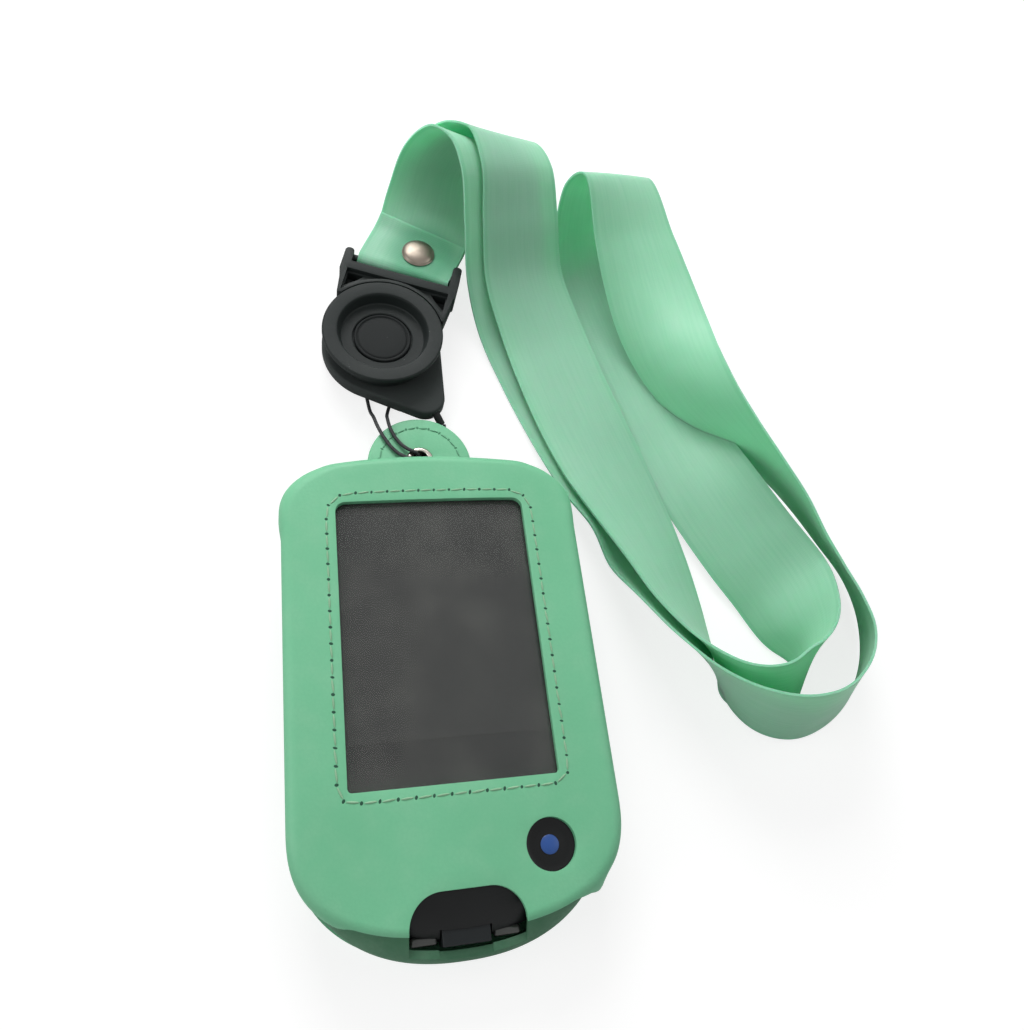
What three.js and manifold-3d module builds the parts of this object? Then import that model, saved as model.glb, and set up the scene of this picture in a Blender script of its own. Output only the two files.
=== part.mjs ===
// Leather neck case for a handheld glucose meter, with the meter in it and its ribbon lanyard.
// Millimetres, +Z up. The case lies on its back: the origin is the centre of its back face,
// +X points to the screen's right and +Y to the end that the lanyard leaves.

import * as THREE from "three";
import { mergeVertices } from "three/addons/utils/BufferGeometryUtils.js";
import Module from "manifold-3d";

const wasm = await Module();
wasm.setup();

// Fits and facet counts
const seatGap = 0.3;
const runGap = 0.4;
const overrun = 1;
const roundSteps = 32;
const smallSteps = 16;
const cornerSteps = 5;
const footSteps = 24;
const cordSides = 8;
const cordSteps = 62;
const half = 0.5;

// Leather case
const caseWidth = 65.8;
const caseLength = 104.7;
const caseHeight = 19;
const panelThick = 1.4;
const gussetThick = 1.2;
const backThick = 1.5;
const mouthCorner = 12;
const footLength = 27;
const lipSetback = 4.4;
const shoulderRadius = 2.4;
const skirtDepth = 6;
const lipDepth = 2.6;
const sideWallEnd = 18;
const backSetback = 0.5;
const gussetTuck = 1.5;

// Window, button hole and strip notch in the front panel
const windowFromSide = 11.75;
const windowFromMouth = 10.65;
const windowFromFoot = 31.95;
const windowCorner = 2.2;
const buttonHole = 10.1;
const buttonFromSide = 15.3;
const buttonFromFoot = 18.7;
const notchWidth = 22.4;
const notchDepth = 8.3;
const notchCorner = 6.5;
const stripGapWidth = 10.4;
const stripGapDepth = 10.2;
const gussetNotchDepth = 4.8;
const filmThick = 0.25;
const filmMargin = 3.5;

// Hanging tab with its eyelet
const tabRadius = 13;
const tabX = 0.6;
const tabReach = 6.4;
const tabLift = 1.9;
const facingThick = 1.1;
const rampLength = 6;
const eyeletBore = 3.9;
const eyeletWall = 0.35;
const eyeletFlange = 6.6;
const eyeletRim = 0.6;
const eyeletFromTab = 1.2;
const washerThick = 0.35;

// Meter
const meterFromBelly = 3.8;
const meterFromMouth = 5.9;
const meterCorner = 13;
const meterFoot = 23;
const meterWall = 1.5;
const meterRound = 3;
const meterSlope = 6.7;
const glassThick = 0.9;
const glassMargin = 2.6;
const glassLedge = 1.6;
const screenBelow = 9.4;
const screenThick = 2.6;
const screenSide = 0.5;
const boardThick = 1.2;
const boardLift = 0.6;
const boardMargin = 1;
const batteryFromSide = 12.7;
const batteryFromTop = 16;
const batteryCorner = 2.2;
const coilFromSide = 10.7;
const coilFromFoot = 15.5;
const coilLength = 16;
const coilBand = 2.4;
const coilThick = 0.4;
const coilFromBattery = 1.5;
const buzzerWidth = 9;
const buzzerThick = 2;
const buzzerFromSide = 10.7;
const buzzerFromTop = 24;
const usbWidth = 7.6;
const usbDepth = 4.2;
const usbThick = 2.6;
const usbX = 9;
const usbWall = 0.5;
const portWidth = 9.4;
const portThick = 6;
const portLength = 9;
const portReach = 0.7;
const slotWidth = 6.6;
const slotHeight = 1.4;
const slotDepth = 5;
const bossRadius = 2.6;
const bossInset = 6;
const bossFromTop = 9;
const bossFromFoot = 22;
const screwShank = 0.9;
const screwHead = 1.8;
const screwHeadThick = 1.1;
const screwFromTop = 3.05;
const screwRecess = 1.2;

// Home button
const capRadius = 5.6;
const capDome = 0.35;
const capThick = 1.5;
const capFlange = 0.8;
const capFlangeThick = 0.8;
const capTravel = 0.4;
const stemRadius = 1.5;
const dotRadius = 1.85;
const dotThick = 0.25;
const switchWidth = 5;
const switchThick = 0.7;
const domeRadius = 1.6;
const domeThick = 0.3;

// Swivel buckle
const buckleX = -6.8;
const buckleFromMouth = 41.95;
const buckleRadius = 15.5;
const tailX = 3.3;
const tailFromMouth = 25.85;
const tailRadius = 5.2;
const plateLift = 1.2;
const plateThick = 3.8;
const tailStep = 0.6;
const socketRadius = 4.6;
const socketDepth = 2.4;
const baseThick = 1.6;
const studNeck = 2.5;
const studHead = 4.6;
const studHeadThick = 0.5;
const ringThick = 4.2;
const recessRadius = 11.25;
const recessDraft = 0.5;
const ringFloor = 0.8;
const hubRadius = 7.4;
const hubThick = 0.95;
const edgeBreak = 0.6;
const yokeAngle = 73;
const yokeWidth = 31.4;
const yokeThick = 5.6;
const postThick = 2.4;
const postReach = 25.2;
const yokeStart = 9.5;
const arcGap = 0.7;
const webEnd = 19.4;
const webBand = 1.3;
const barRadius = 1.1;
const barFrom = 22.2;
const barHeight = 8.6;
const holeReach = 8.4;
const holeDepth = 5.6;

// Ribbon, rivet and cord
const ribbonWidth = 25;
const ribbonThick = 0.7;
const ribbonStep = 7;
const ribbonTwistShare = 0.06;
const sidesAcross = 3;
const ribbonShift = 0.4;
const legShift = 1.6;
const ribbonStart = 23.9;
const flapEnd = 35.7;
const layerStep = 1;
const layerRise = 0.85;
const rivetFrom = 27.9;
const rivetShift = 2.6;
const rivetRadius = 4.4;
const rivetDome = 1.5;
const rivetPost = 1.5;
const washerRadius = 3;
const cordWidth = 0.9;
const sleeveRadius = 1;
const sleeveHeight = 3.35;
const sleeveDrop = 1.9;
const sleeveReach = 2.6;
const cordSpread = 0.65;

// Colours
const finishes = {
  panelLeather: { color: 0x7fc8a1, roughness: 0.62, metalness: 0 },
  gussetLeather: { color: 0x5c9f7d, roughness: 0.7, metalness: 0 },
  backLeather: { color: 0x74bd97, roughness: 0.66, metalness: 0 },
  film: { color: 0xd5dad8, roughness: 0.18, metalness: 0 },
  steel: { color: 0xc4c2be, roughness: 0.25, metalness: 1 },
  housing: { color: 0x17191a, roughness: 0.4, metalness: 0 },
  rearHousing: { color: 0x202324, roughness: 0.55, metalness: 0 },
  glass: { color: 0x1c1d1f, roughness: 0.08, metalness: 0 },
  screen: { color: 0x45484a, roughness: 0.3, metalness: 0 },
  button: { color: 0x131415, roughness: 0.3, metalness: 0 },
  dot: { color: 0x3d6fb4, roughness: 0.3, metalness: 0 },
  board: { color: 0x1f5a3c, roughness: 0.6, metalness: 0 },
  battery: { color: 0xa9adb0, roughness: 0.45, metalness: 0.4 },
  copper: { color: 0xb56f3e, roughness: 0.35, metalness: 1 },
  connector: { color: 0x2a2c2d, roughness: 0.5, metalness: 0 },
  buckle: { color: 0x323536, roughness: 0.58, metalness: 0 },
  ribbon: { color: 0x86cba6, roughness: 0.45, metalness: 0 },
  cord: { color: 0x1b1c1c, roughness: 0.75, metalness: 0 },
};

// Places that follow from the sizes above
const deg = Math.PI / 180;
const halfLength = caseLength * half;
const halfWidth = caseWidth * half;
const mouthY = halfLength;
const bellyY = -halfLength;
const footStartY = bellyY + footLength;
const lipY = bellyY + lipSetback;
const panelUnderside = caseHeight - panelThick;
const gussetTop = panelUnderside - seatGap;
const gussetHalf = halfWidth - panelThick - seatGap;
const wallEndY = mouthY - sideWallEnd;
const gussetNotchFloor = caseHeight - gussetNotchDepth;
const stripGapFloor = caseHeight - stripGapDepth;
const windowWidth = caseWidth - windowFromSide * 2;
const windowLength = caseLength - windowFromMouth - windowFromFoot;
const windowY = mouthY - windowFromMouth - windowLength * half;
const buttonX = halfWidth - buttonFromSide;
const buttonY = bellyY + buttonFromFoot;
const meterFloor = backThick + seatGap;
const meterTop = panelUnderside - filmThick - seatGap;
const meterFootY = bellyY + meterFromBelly;
const meterMouthY = mouthY - meterFromMouth;
const meterHalf = gussetHalf - gussetThick - seatGap;
const meterSplit = (meterTop - meterFloor) * half;
const splitZ = meterFloor + meterSplit;
const boardZ = splitZ + boardLift;
const boardTop = boardZ + boardThick;
const glassHalf = windowWidth * half + glassMargin;
const glassBottom = meterTop - glassThick;
const tabY = mouthY + tabReach;
const eyeletY = tabY + eyeletFromTab;
const tabTop = tabLift + backThick + facingThick;
const buckle = new THREE.Vector2(buckleX, mouthY + buckleFromMouth);
const tail = new THREE.Vector2(tailX, mouthY + tailFromMouth);
const plateTop = plateLift + plateThick;
const baseZ = plateTop + seatGap;
const baseTop = baseZ + baseThick;
const ringTop = baseTop + ringThick;

const part = new THREE.Group();

// Names a finished body and gives it its colour
function piece(name, body, finish) {
  const geometry = body.isBufferGeometry ? body : toGeometry(body);
  geometry.computeVertexNormals();
  const mesh = new THREE.Mesh(geometry, new THREE.MeshStandardMaterial(finishes[finish]));
  mesh.name = name;
  part.add(mesh);
  return mesh;
}

// A closed three.js geometry as a solid that can be cut and joined
function solid(geometry) {
  const bare = geometry.index ? geometry.clone() : geometry;
  bare.deleteAttribute("normal");
  bare.deleteAttribute("uv");
  const merged = mergeVertices(bare, 1e-4);
  return new wasm.Manifold(new wasm.Mesh({
    numProp: 3,
    vertProperties: new Float32Array(merged.attributes.position.array),
    triVerts: new Uint32Array(merged.index.array),
  }));
}

function toGeometry(body) {
  const mesh = body.getMesh();
  const geometry = new THREE.BufferGeometry();
  geometry.setAttribute("position", new THREE.BufferAttribute(mesh.vertProperties, 3));
  geometry.setIndex(new THREE.BufferAttribute(mesh.triVerts, 1));
  return geometry;
}

const cut = (body, ...tools) => tools.reduce((rest, tool) => rest.subtract(tool), body);
const join = (body, ...more) => more.reduce((sum, other) => sum.add(other), body);

// A flat outline raised from one height to another
function plate(shape, low, high, curveSegments = cornerSteps) {
  const options = { depth: high - low, bevelEnabled: false, curveSegments };
  const geometry = new THREE.ExtrudeGeometry(shape, options);
  geometry.translate(0, 0, low);
  return solid(geometry);
}

// The same with all its edges broken
function bevelled(shape, low, high, bevel, curveSegments = cornerSteps) {
  const geometry = new THREE.ExtrudeGeometry(shape, {
    depth: high - low - bevel * 2,
    bevelThickness: bevel,
    bevelSize: bevel,
    bevelOffset: -bevel,
    bevelSegments: 2,
    curveSegments,
  });
  geometry.translate(0, 0, low + bevel);
  return solid(geometry);
}

// A side view, given as Y and Z, drawn out along X
function sideways(points, low, high) {
  const outline = new THREE.Shape(points.map(([y, z]) => new THREE.Vector2(y, z)));
  const geometry = new THREE.ExtrudeGeometry(outline, { depth: high - low, bevelEnabled: false });
  const turn = new THREE.Matrix4().makeBasis(
    new THREE.Vector3(0, 1, 0),
    new THREE.Vector3(0, 0, 1),
    new THREE.Vector3(1, 0, 0),
  );
  geometry.applyMatrix4(turn);
  geometry.translate(low, 0, 0);
  return solid(geometry);
}

function block(x0, x1, y0, y1, z0, z1) {
  const geometry = new THREE.BoxGeometry(x1 - x0, y1 - y0, z1 - z0);
  geometry.translate((x0 + x1) * half, (y0 + y1) * half, (z0 + z1) * half);
  return solid(geometry);
}

// A turned body about a vertical axis: the profile runs from the axis or closes on itself
function turned(profile, x = 0, y = 0, steps = roundSteps) {
  const geometry = new THREE.LatheGeometry(profile.map(([r, z]) => new THREE.Vector2(r, z)), steps);
  geometry.rotateX(Math.PI * half);
  geometry.translate(x, y, 0);
  return solid(geometry);
}

const rod = (radius, low, high, x = 0, y = 0, steps = smallSteps) => turned(
  [[0, low], [radius, low], [radius, high], [0, high]],
  x,
  y,
  steps,
);

// A closed skin through rings of equal point count; the faces close its two ends, and each
// side's squares are split one way or the other
function skin(rings, faces, splitBack = () => false) {
  const count = rings[0].length;
  const index = [];
  for (let level = 0; level + 1 < rings.length; level += 1) {
    for (let i = 0; i < count; i += 1) {
      const a = level * count + i;
      const b = level * count + ((i + 1) % count);
      if (splitBack(i)) {
        index.push(a, b, a + count, b, b + count, a + count);
      } else {
        index.push(a, b, b + count, a, b + count, a + count);
      }
    }
  }
  const last = (rings.length - 1) * count;
  faces.forEach(([a, b, c]) => index.push(a, c, b, last + a, last + b, last + c));
  const geometry = new THREE.BufferGeometry();
  const places = rings.flat().flatMap((p) => p.toArray());
  geometry.setAttribute("position", new THREE.Float32BufferAttribute(places, 3));
  geometry.setIndex(index);
  return solid(geometry);
}

// A skin through level outlines
function loft(levels) {
  const rings = levels.map(({ z, ring }) => ring.map((p) => new THREE.Vector3(p.x, p.y, z)));
  return skin(rings, THREE.ShapeUtils.triangulateShape(levels[0].ring, []));
}

// A round cord through the given points
function cord(points, radius, steps) {
  const section = new THREE.Shape();
  section.absarc(0, 0, radius, 0, Math.PI * 2, false);
  const path = new THREE.CatmullRomCurve3(points.map((p) => new THREE.Vector3(...p)), false, "centripetal");
  return solid(new THREE.ExtrudeGeometry(section, {
    steps,
    extrudePath: path,
    bevelEnabled: false,
    curveSegments: cordSides * half,
  }));
}

// The plan outline of the case and of the meter: round corners at the mouth, and a
// rounded foot that is an ellipse at power 2 and squarer above it
function plan({ side, top, foot, start, corner, power }) {
  const points = [];
  for (const [centre, from] of [[side - corner, 0], [corner - side, Math.PI * half]]) {
    for (let i = 0; i <= cornerSteps; i += 1) {
      const a = from + (Math.PI * half * i) / cornerSteps;
      points.push(new THREE.Vector2(centre + corner * Math.cos(a), top - corner + corner * Math.sin(a)));
    }
  }
  for (let i = 0; i <= footSteps; i += 1) {
    const a = Math.PI * (1 + i / footSteps);
    const x = side * Math.sign(Math.cos(a)) * Math.abs(Math.cos(a)) ** (2 / power);
    const y = (foot - start) * Math.abs(Math.sin(a)) ** (2 / power);
    points.push(new THREE.Vector2(x, start + y));
  }
  return points;
}

function roundedRectangle(x0, x1, y0, y1, r) {
  const shape = new THREE.Shape();
  shape.moveTo(x0 + r, y0);
  shape.lineTo(x1 - r, y0);
  shape.absarc(x1 - r, y0 + r, r, -Math.PI * half, 0, false);
  shape.lineTo(x1, y1 - r);
  shape.absarc(x1 - r, y1 - r, r, 0, Math.PI * half, false);
  shape.lineTo(x0 + r, y1);
  shape.absarc(x0 + r, y1 - r, r, Math.PI * half, Math.PI, false);
  shape.lineTo(x0, y0 + r);
  shape.absarc(x0 + r, y0 + r, r, Math.PI, Math.PI * (1 + half), false);
  return shape;
}

// The front panel is one moulded sheet: a flat face, rounded shoulders on three sides and a
// skirt that laps the gusset; its mouth end is a straight cut
const lipPowerShare = 2.65;
const bellyPowerShare = 2.3;

function panelPlan(inset, top) {
  return plan({
    side: halfWidth - inset,
    top,
    foot: lipY + inset,
    start: footStartY,
    corner: mouthCorner,
    power: lipPowerShare,
  });
}

function shoulderLevels(inset, height, radius, top) {
  const levels = [{ z: caseHeight - skirtDepth - overrun, ring: panelPlan(inset, top) }];
  for (let i = 0; i <= cornerSteps - 1; i += 1) {
    const a = (Math.PI * half * i) / (cornerSteps - 1);
    levels.push({
      z: height - radius + radius * Math.sin(a),
      ring: panelPlan(inset + radius * (1 - Math.cos(a)), top),
    });
  }
  return levels;
}

function buildFrontPanel() {
  const outside = loft(shoulderLevels(0, caseHeight, shoulderRadius, mouthY));
  const cavityCorner = shoulderRadius - panelThick;
  const inside = loft(shoulderLevels(panelThick, panelUnderside, cavityCorner, mouthY + mouthCorner));
  const lipZ = caseHeight - lipDepth;
  const skirtZ = caseHeight - skirtDepth;
  const far = caseLength;
  const skirtLine = sideways([
    [-far, -overrun],
    [far, -overrun],
    [far, lipZ],
    [wallEndY + skirtDepth, lipZ],
    [wallEndY, skirtZ],
    [footStartY - skirtDepth, skirtZ],
    [lipY + lipDepth, lipZ],
    [-far, lipZ],
  ], -caseWidth, caseWidth);
  const halfWindow = windowWidth * half;
  const window = roundedRectangle(
    -halfWindow,
    halfWindow,
    windowY - windowLength * half,
    windowY + windowLength * half,
    windowCorner,
  );
  const notch = roundedRectangle(
    -notchWidth * half,
    notchWidth * half,
    lipY - notchDepth,
    lipY + notchDepth,
    notchCorner,
  );
  const above = caseHeight + overrun;
  return cut(
    outside,
    inside,
    skirtLine,
    plate(window, gussetTop, above),
    plate(notch, splitZ, above),
    rod(buttonHole * half, gussetTop, above, buttonX, buttonY, roundSteps),
  );
}

// The gusset runs round both sides and the foot, swells below the front lip and tucks in
// behind it at the top
const gussetHeightShares = [0, 0.12, 0.35, 0.6, 0.74, 0.84, 0.92, 1];
const gussetBulgeShares = [0.88, 0.97, 1, 0.95, 0.72, 0.4, 0, 0];
const gussetTuckShares = [0, 0, 0, 0, 0, 0, 0.18, 1];
const gussetPowerShares = [
  bellyPowerShare, bellyPowerShare, bellyPowerShare, bellyPowerShare,
  2.35, 2.45, lipPowerShare, lipPowerShare,
];

function gussetLevels(inset, top, drop) {
  const tuckY = lipY + panelThick + seatGap * 2;
  const lastLevel = gussetHeightShares.length - 1;
  return gussetHeightShares.map((share, i) => {
    const past = i === 0 ? -drop : 0;
    const z = backThick + share * (gussetTop - backThick) + (i === lastLevel ? drop : past);
    const tuck = gussetTuckShares[i] * gussetTuck;
    return {
      z,
      ring: plan({
        side: gussetHalf - inset - tuck,
        top,
        foot: tuckY + gussetBulgeShares[i] * (bellyY - tuckY) + inset + tuck,
        start: footStartY,
        corner: mouthCorner,
        power: gussetPowerShares[i],
      }),
    };
  });
}

function buildGusset() {
  const outside = loft(gussetLevels(0, mouthY, 0));
  const inside = loft(gussetLevels(gussetThick, mouthY + mouthCorner, overrun));
  const beyondMouth = block(-caseWidth, caseWidth, wallEndY, caseLength, 0, caseHeight);
  const notchHalf = notchWidth * half;
  const stripHalf = stripGapWidth * half;
  return cut(
    outside,
    inside,
    beyondMouth,
    block(-notchHalf, notchHalf, -caseLength, footStartY, gussetNotchFloor, caseHeight),
    block(-stripHalf, stripHalf, -caseLength, footStartY, stripGapFloor, caseHeight),
  );
}

// The back panel carries the hanging tab, which bends up off the table past the mouth
function tabShape(bottom) {
  const shape = new THREE.Shape();
  shape.moveTo(tabX - tabRadius, bottom);
  shape.lineTo(tabX + tabRadius, bottom);
  shape.lineTo(tabX + tabRadius, tabY);
  shape.absarc(tabX, tabY, tabRadius, 0, Math.PI, false);
  return shape;
}

function buildBackPanel() {
  const rim = plan({
    side: halfWidth - backSetback,
    top: mouthY - backSetback,
    foot: bellyY + backSetback,
    start: footStartY,
    corner: mouthCorner,
    power: bellyPowerShare,
  });
  const sheet = plate(new THREE.Shape(rim), 0, backThick);
  const rampFoot = mouthY - rampLength * half;
  const rampHead = rampFoot + rampLength;
  const end = tabY + tabRadius + overrun;
  const side = sideways([
    [rampFoot - rampLength, 0],
    [rampFoot, 0],
    [rampHead, tabLift],
    [end, tabLift],
    [end, tabLift + backThick],
    [rampHead, tabLift + backThick],
    [rampFoot, backThick],
    [rampFoot - rampLength, backThick],
  ], tabX - tabRadius - overrun, tabX + tabRadius + overrun);
  const left = tabX - tabRadius;
  const right = tabX + tabRadius;
  const neck = cut(sheet, block(left, right, rampFoot, caseLength, -overrun, caseHeight));
  const tab = side.intersect(plate(tabShape(rampFoot - rampLength * half), -overrun, caseHeight, roundSteps));
  return cut(join(neck, tab), eyeletHole(-overrun, caseHeight));
}

function eyeletHole(low, high) {
  return rod(eyeletBore * half + eyeletWall + seatGap, low, high, tabX, eyeletY);
}

function buildTabFacing() {
  const low = tabLift + backThick;
  const bottom = mouthY + rampLength * half + seatGap;
  return cut(plate(tabShape(bottom), low, tabTop, roundSteps), eyeletHole(0, caseHeight));
}

// The eyelet is one rolled brass tube: barrel and upper flange, with a washer below
function buildEyelet() {
  const bore = eyeletBore * half;
  const barrel = bore + eyeletWall;
  const flange = eyeletFlange * half;
  const foot = tabLift - washerThick * half;
  const rim = tabTop + eyeletRim;
  const lean = eyeletRim * half;
  return turned([
    [bore, foot],
    [barrel, foot],
    [barrel, tabTop],
    [flange, tabTop],
    [flange, tabTop + lean * half],
    [flange - lean, rim],
    [bore + lean, rim],
    [bore, tabTop + lean],
    [bore, foot],
  ], tabX, eyeletY, smallSteps + cornerSteps);
}

function buildWasher() {
  const inner = eyeletBore * half + eyeletWall + seatGap * half;
  const outer = eyeletFlange * half;
  const low = tabLift - washerThick;
  return turned(
    [[inner, low], [outer, low], [outer, tabLift], [inner, tabLift], [inner, low]],
    tabX,
    eyeletY,
    smallSteps + cornerSteps,
  );
}

function buildFilm() {
  const side = windowWidth * half + filmMargin;
  const reach = windowLength * half + filmMargin;
  const corner = windowCorner + filmMargin;
  const sheet = roundedRectangle(-side, side, windowY - reach, windowY + reach, corner);
  return plate(sheet, panelUnderside - filmThick, panelUnderside);
}

// Meter housings: two shells that meet at the split; the front's foot slopes back to let
// the case's lip close over it
const frontHeightShares = [0, 0.34, 0.5, 0.7, 0.87, 1];
const frontFootShares = [0, 0.03, 0.1, 0.34, 0.68, 1];
const frontSideShares = [0, 0, 0.03, 0.1, 0.35, 1];
const rearHeightShares = [0, 0.1, 0.34, 1];
const rearRoundShares = [1, 0.5, 0.08, 0];
const meterPowerShare = 2.1;

function meterPlan(sideInset, footInset, wall) {
  return plan({
    side: meterHalf - sideInset - wall,
    top: meterMouthY - sideInset - wall,
    foot: meterFootY + footInset + wall,
    start: meterFootY + meterFoot,
    corner: meterCorner - wall,
    power: meterPowerShare,
  });
}

const bossPlaces = [1, -1].flatMap((side) => [
  [side * (meterHalf - bossInset), meterMouthY - bossFromTop],
  [side * (meterHalf - bossInset), meterFootY + bossFromFoot],
]);

function buildFrontHousing() {
  const span = meterTop - splitZ;
  const outside = loft(frontHeightShares.map((share, i) => ({
    z: splitZ + share * span,
    ring: meterPlan(frontSideShares[i] * meterRound, frontFootShares[i] * meterSlope, 0),
  })));
  const ceiling = glassBottom - seatGap * half;
  const inside = loft([
    { z: splitZ - overrun, ring: meterPlan(0, 0, meterWall) },
    { z: splitZ + span * half, ring: meterPlan(0, meterSlope * half * half, meterWall) },
    { z: ceiling, ring: meterPlan(meterRound, meterSlope, meterWall) },
  ]);
  const reach = windowLength * half + glassMargin;
  const pocket = roundedRectangle(
    -glassHalf - seatGap,
    glassHalf + seatGap,
    windowY - reach - seatGap,
    windowY + reach + seatGap,
    windowCorner,
  );
  const bosses = bossPlaces.map(([x, y]) => cut(
    rod(bossRadius, boardTop + seatGap, meterTop - meterWall * half, x, y),
    rod(screwShank + seatGap, splitZ - overrun, screwTip + seatGap, x, y),
  ));
  const guide = cut(
    rod(capRadius + runGap + meterWall, flangeTop, meterTop - meterWall * half, buttonX, buttonY),
    rod(capRadius + runGap, splitZ, meterTop, buttonX, buttonY),
  );
  const rim = roundedRectangle(
    glassLedge - glassHalf,
    glassHalf - glassLedge,
    windowY - reach + glassLedge,
    windowY + reach - glassLedge,
    windowCorner,
  );
  const roof = plate(
    roundedRectangle(
      -glassHalf - meterWall,
      glassHalf + meterWall,
      windowY - reach - meterWall,
      windowY + reach + meterWall,
      windowCorner,
    ),
    glassBottom - meterWall,
    ceiling + meterWall * half,
  );
  return cut(
    join(cut(outside, inside), roof, guide, ...bosses),
    plate(pocket, glassBottom, caseHeight),
    plate(rim, splitZ, caseHeight),
    rod(capRadius + runGap, splitZ, caseHeight, buttonX, buttonY, roundSteps),
    rod(capRadius + capFlange + runGap, splitZ, flangeTop, buttonX, buttonY, roundSteps),
    portOpening(),
    usbOpening(),
  );
}

function buildRearHousing() {
  const outside = loft(rearHeightShares.map((share, i) => ({
    z: meterFloor + share * meterSplit,
    ring: meterPlan(rearRoundShares[i] * meterRound, rearRoundShares[i] * meterRound, 0),
  })));
  const floor = meterFloor + meterWall;
  const inside = loft([
    { z: floor, ring: meterPlan(meterRound, meterRound, meterWall) },
    { z: floor + meterRound, ring: meterPlan(0, 0, meterWall) },
    { z: splitZ + overrun, ring: meterPlan(0, 0, meterWall) },
  ]);
  const pillarFoot = meterFloor + meterWall * half;
  const pillars = bossPlaces.map(([x, y]) => rod(bossRadius, pillarFoot, boardZ - seatGap, x, y));
  const holes = bossPlaces.map(([x, y]) => join(
    rod(screwShank + seatGap, 0, caseHeight, x, y),
    rod(screwHead + seatGap, 0, meterFloor + screwRecess + screwHeadThick, x, y),
  ));
  return cut(join(cut(outside, inside), ...pillars), ...holes, portOpening(), usbOpening());
}

// Strip port: a bezel block that stands out of the meter's foot between the two shells
const portBottom = boardTop - portThick * half;

function portBlock(grow) {
  const side = portWidth * half + grow;
  return block(
    -side,
    side,
    meterFootY - portReach - grow,
    meterFootY + portLength - portReach + grow,
    portBottom - grow,
    portBottom + portThick + grow,
  );
}

const portOpening = () => portBlock(seatGap);

function buildPortBezel() {
  const mouth = meterFootY - portReach;
  const side = slotWidth * half;
  const slotZ = boardTop + slotHeight * half;
  return cut(
    portBlock(0),
    block(-side, side, mouth - overrun, mouth + slotDepth, slotZ, slotZ + slotHeight),
  );
}

// Charging socket in the meter's top end
function usbBlock(grow, reach) {
  return block(
    usbX - usbWidth * half - grow,
    usbX + usbWidth * half + grow,
    meterMouthY - usbDepth - grow,
    meterMouthY - usbWall + reach,
    boardTop - (grow > 0 ? grow : 0),
    boardTop + usbThick + grow,
  );
}

const usbOpening = () => usbBlock(seatGap, caseLength);

function buildUsbSocket() {
  const inner = usbWall;
  const mouth = block(
    usbX - usbWidth * half + inner,
    usbX + usbWidth * half - inner,
    meterMouthY - usbDepth + inner,
    meterMouthY + overrun,
    boardTop + inner,
    boardTop + usbThick - inner,
  );
  const tongue = block(
    usbX - usbWidth * half * half,
    usbX + usbWidth * half * half,
    meterMouthY - usbDepth + inner * half,
    meterMouthY - usbWall * 2,
    boardTop + usbThick * half,
    boardTop + usbThick * half + inner,
  );
  return join(cut(usbBlock(0, 0), mouth), tongue);
}

function buildGlass() {
  const reach = windowLength * half + glassMargin;
  const sheet = roundedRectangle(-glassHalf, glassHalf, windowY - reach, windowY + reach, windowCorner);
  return plate(sheet, glassBottom, meterTop);
}

// The display lies right under the glass; a dark band is left below it
const screenTop = glassBottom - seatGap;
const screenHalf = windowWidth * half - screenSide;
const screenFootY = windowY - windowLength * half + screenBelow;
const screenHeadY = windowY + windowLength * half;

function buildScreen() {
  return block(-screenHalf, screenHalf, screenFootY, screenHeadY, screenTop - screenThick, screenTop);
}

// The main board is cut round the port, the screw pillars and nothing else
function buildBoard() {
  const wall = meterWall + boardMargin;
  const ring = meterPlan(0, 0, wall);
  const board = plate(new THREE.Shape(ring), boardZ, boardTop);
  const bore = screwShank + seatGap;
  const holes = bossPlaces.map(([x, y]) => rod(bore, boardZ - overrun, boardTop + overrun, x, y));
  return cut(board, portBlock(seatGap), ...holes);
}

// The battery fills the floor between the coil and the top; the buzzer hangs over its edge
const cellFloor = meterFloor + meterWall;
const coilHeadY = meterFootY + coilFromFoot + coilLength;

function buildBattery() {
  const side = meterHalf - batteryFromSide;
  const foot = coilHeadY + coilFromBattery;
  const shape = roundedRectangle(-side, side, foot, meterMouthY - batteryFromTop, batteryCorner);
  return plate(shape, cellFloor, boardZ - buzzerThick - seatGap);
}

function buildCoil() {
  const side = meterHalf - coilFromSide;
  const foot = coilHeadY - coilLength;
  const inner = side - coilBand;
  const outer = roundedRectangle(-side, side, foot, coilHeadY, coilBand);
  const opening = roundedRectangle(-inner, inner, foot + coilBand, coilHeadY - coilBand, coilBand * half);
  return cut(plate(outer, cellFloor, cellFloor + coilThick), plate(opening, 0, caseHeight));
}

const buildBuzzer = () => rod(
  buzzerWidth * half,
  boardZ - buzzerThick,
  boardZ,
  meterHalf - buzzerFromSide,
  meterMouthY - buzzerFromTop,
  roundSteps,
);

const screwSeat = meterFloor + screwRecess;
const screwTip = meterTop - screwFromTop;

function buildScrew([x, y]) {
  return turned([
    [0, screwSeat],
    [screwHead, screwSeat],
    [screwHead, screwSeat + screwHeadThick * half],
    [screwShank, screwSeat + screwHeadThick],
    [screwShank, screwTip],
    [0, screwTip],
  ], x, y, smallSteps);
}

// Home button: a domed cap on a flange, with a stem that presses the switch dome
const capTop = meterTop + capDome * half;
const flangeTop = meterTop - capThick - seatGap;
const switchTop = boardTop + switchThick + domeThick;

function buildHomeButton() {
  const edge = capTop - capDome;
  return turned([
    [0, switchTop + capTravel + seatGap * half],
    [stemRadius, switchTop + capTravel + seatGap * half],
    [stemRadius, flangeTop - capFlangeThick],
    [capRadius + capFlange, flangeTop - capFlangeThick],
    [capRadius + capFlange, flangeTop],
    [capRadius, flangeTop],
    [capRadius, edge],
    [capRadius - capDome, capTop],
    [0, capTop],
  ], buttonX, buttonY);
}

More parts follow.
